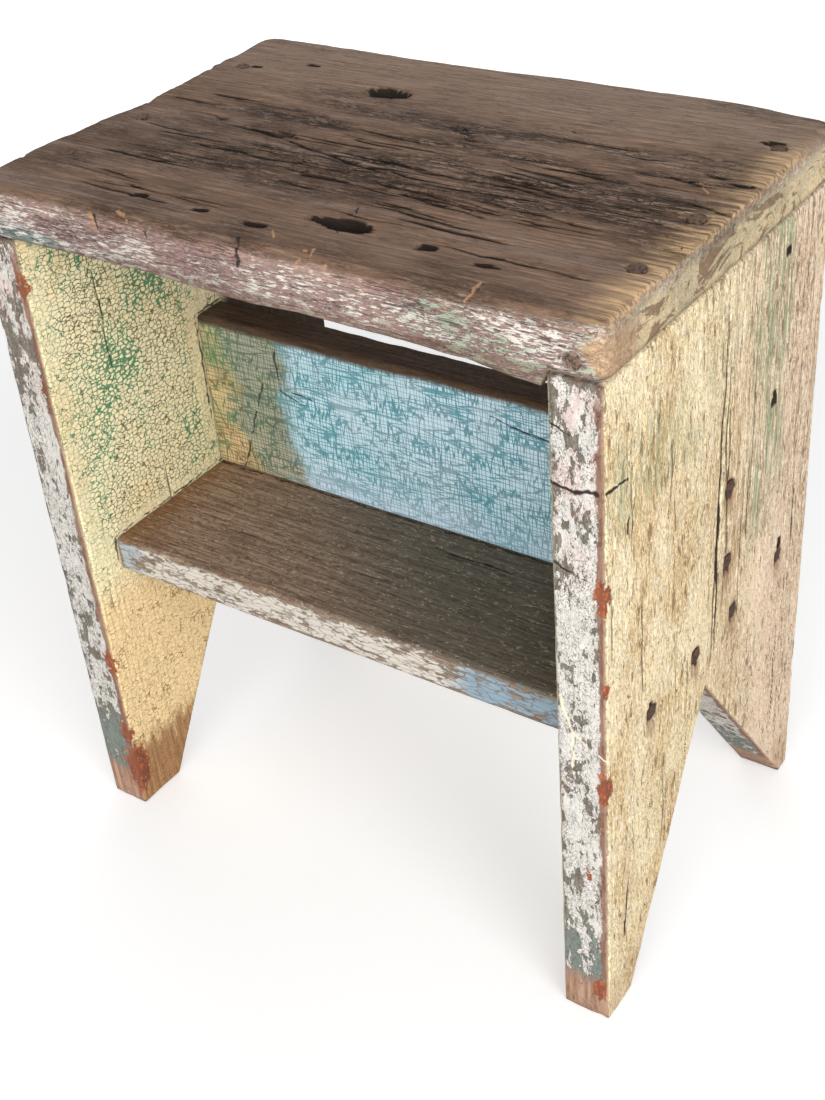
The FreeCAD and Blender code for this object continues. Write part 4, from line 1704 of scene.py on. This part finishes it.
@dataclass
class Stool:
    """The whole stool: five planks and the nails that hold them."""

    iron: tuple[tuple[str, Iron], ...] = (
        ("seat_nails_left", Iron.RUBBED),
        ("seat_nails_right", Iron.RUBBED),
        ("front_corner_nail", Iron.PAINTED),
    )

    def planks(self) -> list[Plank]:
        """Gives every plank with its finish and its own marks.

        Returns:
            The planks, in the order that they are made.
        """
        return [
            SeatPlank("seat_board", "seat_plank", SeatFinish("seat_wood", "seat_wood"), 7, (88, 330, 9)),
            self.left_end(),
            self.right_end(),
            *self.inner_boards(),
        ]

    def seams(self, node: str) -> tuple[Scratch, ...]:
        """Gives the dark seams where an end board meets the shelf and the stretcher."""
        return contact(node, "shelf_board") + contact(node, "stretcher_board")

    def left_end(self) -> EndPlank:
        """Gives the left end board.

        Returns:
            The board, not yet built.
        """
        node = "left_end_board"
        look = {"side": Side.LEFT, "bared": 0.17, "chipped": 0.42, "white": tone(222, 218, 210)}
        paint = EndFinish("left_end_paint", "end_paint", seams=self.seams(node), **look)
        oranges = ((-142.7, 330, 4), (-144, 275, 3), (-143, 104, 4.5), (-143, 52, 4.5), (-141, 26, 9))
        return EndPlank(
            node, "left_end_plank", paint, 21, (10, 0, 0), side=Side.LEFT,
            apex=(0.0, 133.5), feet=(-81.0, 91.0), breadths=(132, 120), oranges=oranges,
        )

    def right_end(self) -> EndPlank:
        """Gives the right end board.

        Returns:
            The board, not yet built.
        """
        node = "right_end_board"
        dark = trails(
            (2.8, (139, -111.4, 305.7), (152, -111.4, 304.5)),
            (3.4, (152, -111.4, 304.5), (160, -111, 306), (164.4, -109, 306.5)),
            (2.4, (164.4, -110, 306.5), (164.6, -93, 304)),
            (1.6, (139, -111.4, 333), (150, -111.4, 329)),
            (1.6, (141, -111.4, 268), (160, -111.4, 263)),
            (1.6, (165, -92, 286), (165, -97, 262)),
            (1.0, (165, -88, 292), (165, -90, 270)),
        )
        pale = trails(
            (2.4, (142, -111.5, 199), (148, -111.5, 180)),
            (2.0, (148, -111.5, 180), (164, -111, 170)),
            (2.0, (148, -111.5, 180), (148, -111.5, 156)),
        )
        strokes = {"dark_strokes": dark, "pale_strokes": pale}
        paint = EndFinish("right_end_paint", "end_paint", side=Side.RIGHT, seams=self.seams(node), **strokes)
        oranges = ((163, 257, 4.5), (163, 152, 4.5), (155, 95, 2.5), (160, 20, 4.5), (164, 208, 2.5))
        checks = (
            Check(140, -9, 205, 2.0, 1.6, 0.03),
            Check(150, -5, 120, 1.4, 1.0),
            Check(44, -95, 38, 1.6, 1.0, 0.08),
            Check(180, 3, 120, 1.2, 0.9),
            Check(160, 20, 90, 1.2, 0.7),
        )
        pits = (Pit(51, 265, 3, 4, 1.5), Pit(68, 173, 2.6, 4, 1.4), Pit(57, 336, 3, 2.4, 1.2))
        return EndPlank(
            node, "right_end_plank", paint, 34, (10, 0, 0), side=Side.RIGHT,
            oranges=oranges, checks=checks, pits=pits,
        )

    def inner_boards(self) -> list[Plank]:
        """Gives the shelf and the stretcher that stands on it.

        Returns:
            Both boards, not yet built.
        """
        foot = contact("stretcher_board", "shelf_board")
        seams = foot + contact("left_end_board", "shelf_board", 1.2)
        shelf_wood = ShelfFinish("shelf_wood", "shelf_wood", seams=seams)
        seams = foot + contact("left_end_board", "stretcher_board", 1.4)
        rail_paint = StretcherFinish("stretcher_paint", "stretcher_paint", seams=seams)
        return [
            ShelfPlank("shelf_board", "shelf_plank", shelf_wood, 45, (90, 160, 8)),
            StretcherPlank("stretcher_board", "stretcher_plank", rail_paint, 52, (120, 8, 84)),
        ]

    def build(self) -> None:
        """Makes every plank and dresses the nails."""
        for plank in self.planks():
            plank.build()
        made = {
            wear: IronFinish(f"{wear.name.lower()}_iron", "nail_iron", wear=wear).material() for wear in Iron
        }
        irons = dict(self.iron)
        for node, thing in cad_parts.items():
            if "nail" in node:
                for slot in thing.material_slots:
                    slot.material = made[irons.get(node, Iron.NAIL)]
                LOG.info("%s dressed", node)


WHITE = (1.0, 1.0, 1.0, 1.0)


def seen_by(tree: bpy.types.NodeTree, *rays: str) -> Signal:
    """Gives a mask that is 1 for any of the named kinds of ray."""
    paths = lay(tree, "ShaderNodeLightPath", {}).outputs
    return functools.reduce(operator.or_, (Signal(paths[ray]) for ray in rays))


@dataclass(frozen=True)
class Lamp:
    """A round lamp: its direction from the stool, its distance and size in metres, its watts."""

    name: str
    aim: Triple
    away: float
    size: float
    power: float

    def hang(self, centre: Vector) -> None:
        """Hangs the lamp so that it shines on the stool.

        Args:
            centre: The place that it shines at, in metres.
        """
        data = bpy.data.lights.new(self.name, "AREA")
        data.shape = "DISK"
        data.size = self.size
        data.energy = self.power
        heading = Vector(self.aim).normalized()
        turn = heading.to_track_quat("Z", "Y").to_matrix().to_4x4()
        add(self.name, data).matrix_world = Matrix.Translation(centre + heading * self.away) @ turn


@dataclass
class Studio:
    """Pale floor, soft lamps and the camera."""

    lamps: tuple[Lamp, ...] = (
        Lamp("key", (0.80, -0.44, 0.42), 2.0, 1.1, 19.5),
        Lamp("fill", (0.32, -0.86, 0.30), 2.6, 2.4, 48.0),
        Lamp("back", (-0.62, 0.66, 0.42), 2.6, 2.4, 18.0),
    )
    centre: Triple = (0.0, 0.0, 0.2)
    reach: float = 9.0
    sky: float = 0.35
    glow: Pair = (0.36, 0.78)
    glow_span: Pair = (0.5, 1.8)
    focal: float = 1588.14 / 1100 * 36
    sensor: float = 36.0
    eye: Triple = (408.12, -557.47, 639.11)
    right: Triple = (0.82594641, 0.55867805, -0.07544113)
    down: Triple = (0.26936283, -0.50864972, -0.81775249)
    ahead: Triple = (-0.49523348, 0.65509869, -0.57060451)

    def build(self) -> None:
        """Sets up everything around the stool."""
        self.floor()
        for lamp in self.lamps:
            lamp.hang(Vector(self.centre))
        self.room()
        self.camera()

    def floor(self) -> None:
        """Lays a wide floor that stays white to the eye and keeps the shadow."""
        bm = bmesh.new()
        bmesh.ops.create_grid(bm, x_segments=2, y_segments=2, size=self.reach)
        mesh = bpy.data.meshes.new("floor")
        bm.to_mesh(mesh)
        bm.free()
        floor = add("floor", mesh)
        made = bpy.data.materials.new("floor_white")
        tree = cleared(made)
        glow = seen_by(tree, "Is Camera Ray", "Is Glossy Ray", "Is Transmission Ray")
        place = Signal(lay(tree, "ShaderNodeTexCoord", {}).outputs["Object"])
        glow = glow * place.length().fade(*self.glow_span, *self.glow)
        feeds = {"Base Color": (0.8, 0.8, 0.8, 1.0), "Roughness": 0.9, "Specular IOR Level": 0.0}
        feeds |= {"Emission Color": WHITE, "Emission Strength": glow}
        shader = glow.lay("ShaderNodeBsdfPrincipled", feeds)
        lay(tree, "ShaderNodeOutputMaterial", {"Surface": shader})
        mesh.materials.append(made)
        floor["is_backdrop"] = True

    def room(self) -> None:
        """Lights the room evenly."""
        world = bpy.data.worlds.new("room")
        tree = cleared(world)
        strength = seen_by(tree, "Is Camera Ray").fade(0.0, 1.0, self.sky, 1.0)
        sky = strength.lay("ShaderNodeBackground", {"Color": WHITE, "Strength": strength})
        lay(tree, "ShaderNodeOutputWorld", {"Surface": sky})
        bpy.context.scene.world = world

    def camera(self) -> None:
        """Stands the camera in front, to the right and above, turned slightly about its axis."""
        data = bpy.data.cameras.new("camera")
        data.lens = self.focal
        data.sensor_width = self.sensor
        data.clip_end = 100.0
        camera = add("camera", data)
        turn = Matrix((self.right, -Vector(self.down), -Vector(self.ahead))).transposed().to_4x4()
        camera.matrix_world = Matrix.Translation(Vector(self.eye) * MM) @ turn
        bpy.context.scene.camera = camera


def main() -> None:
    """Builds the stool and the studio, and measures both sizes."""
    logging.basicConfig(level=logging.INFO, format="%(name)s: %(message)s")
    Stool().build()
    Studio().build()
    bpy.context.scene.view_settings.view_transform = "Standard"
    boxes = {"cad": CAD_BOX, "visual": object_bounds()}
    boxes = {name: [[float(value) for value in corner] for corner in box] for name, box in boxes.items()}


if __name__ == "__main__":
    main()
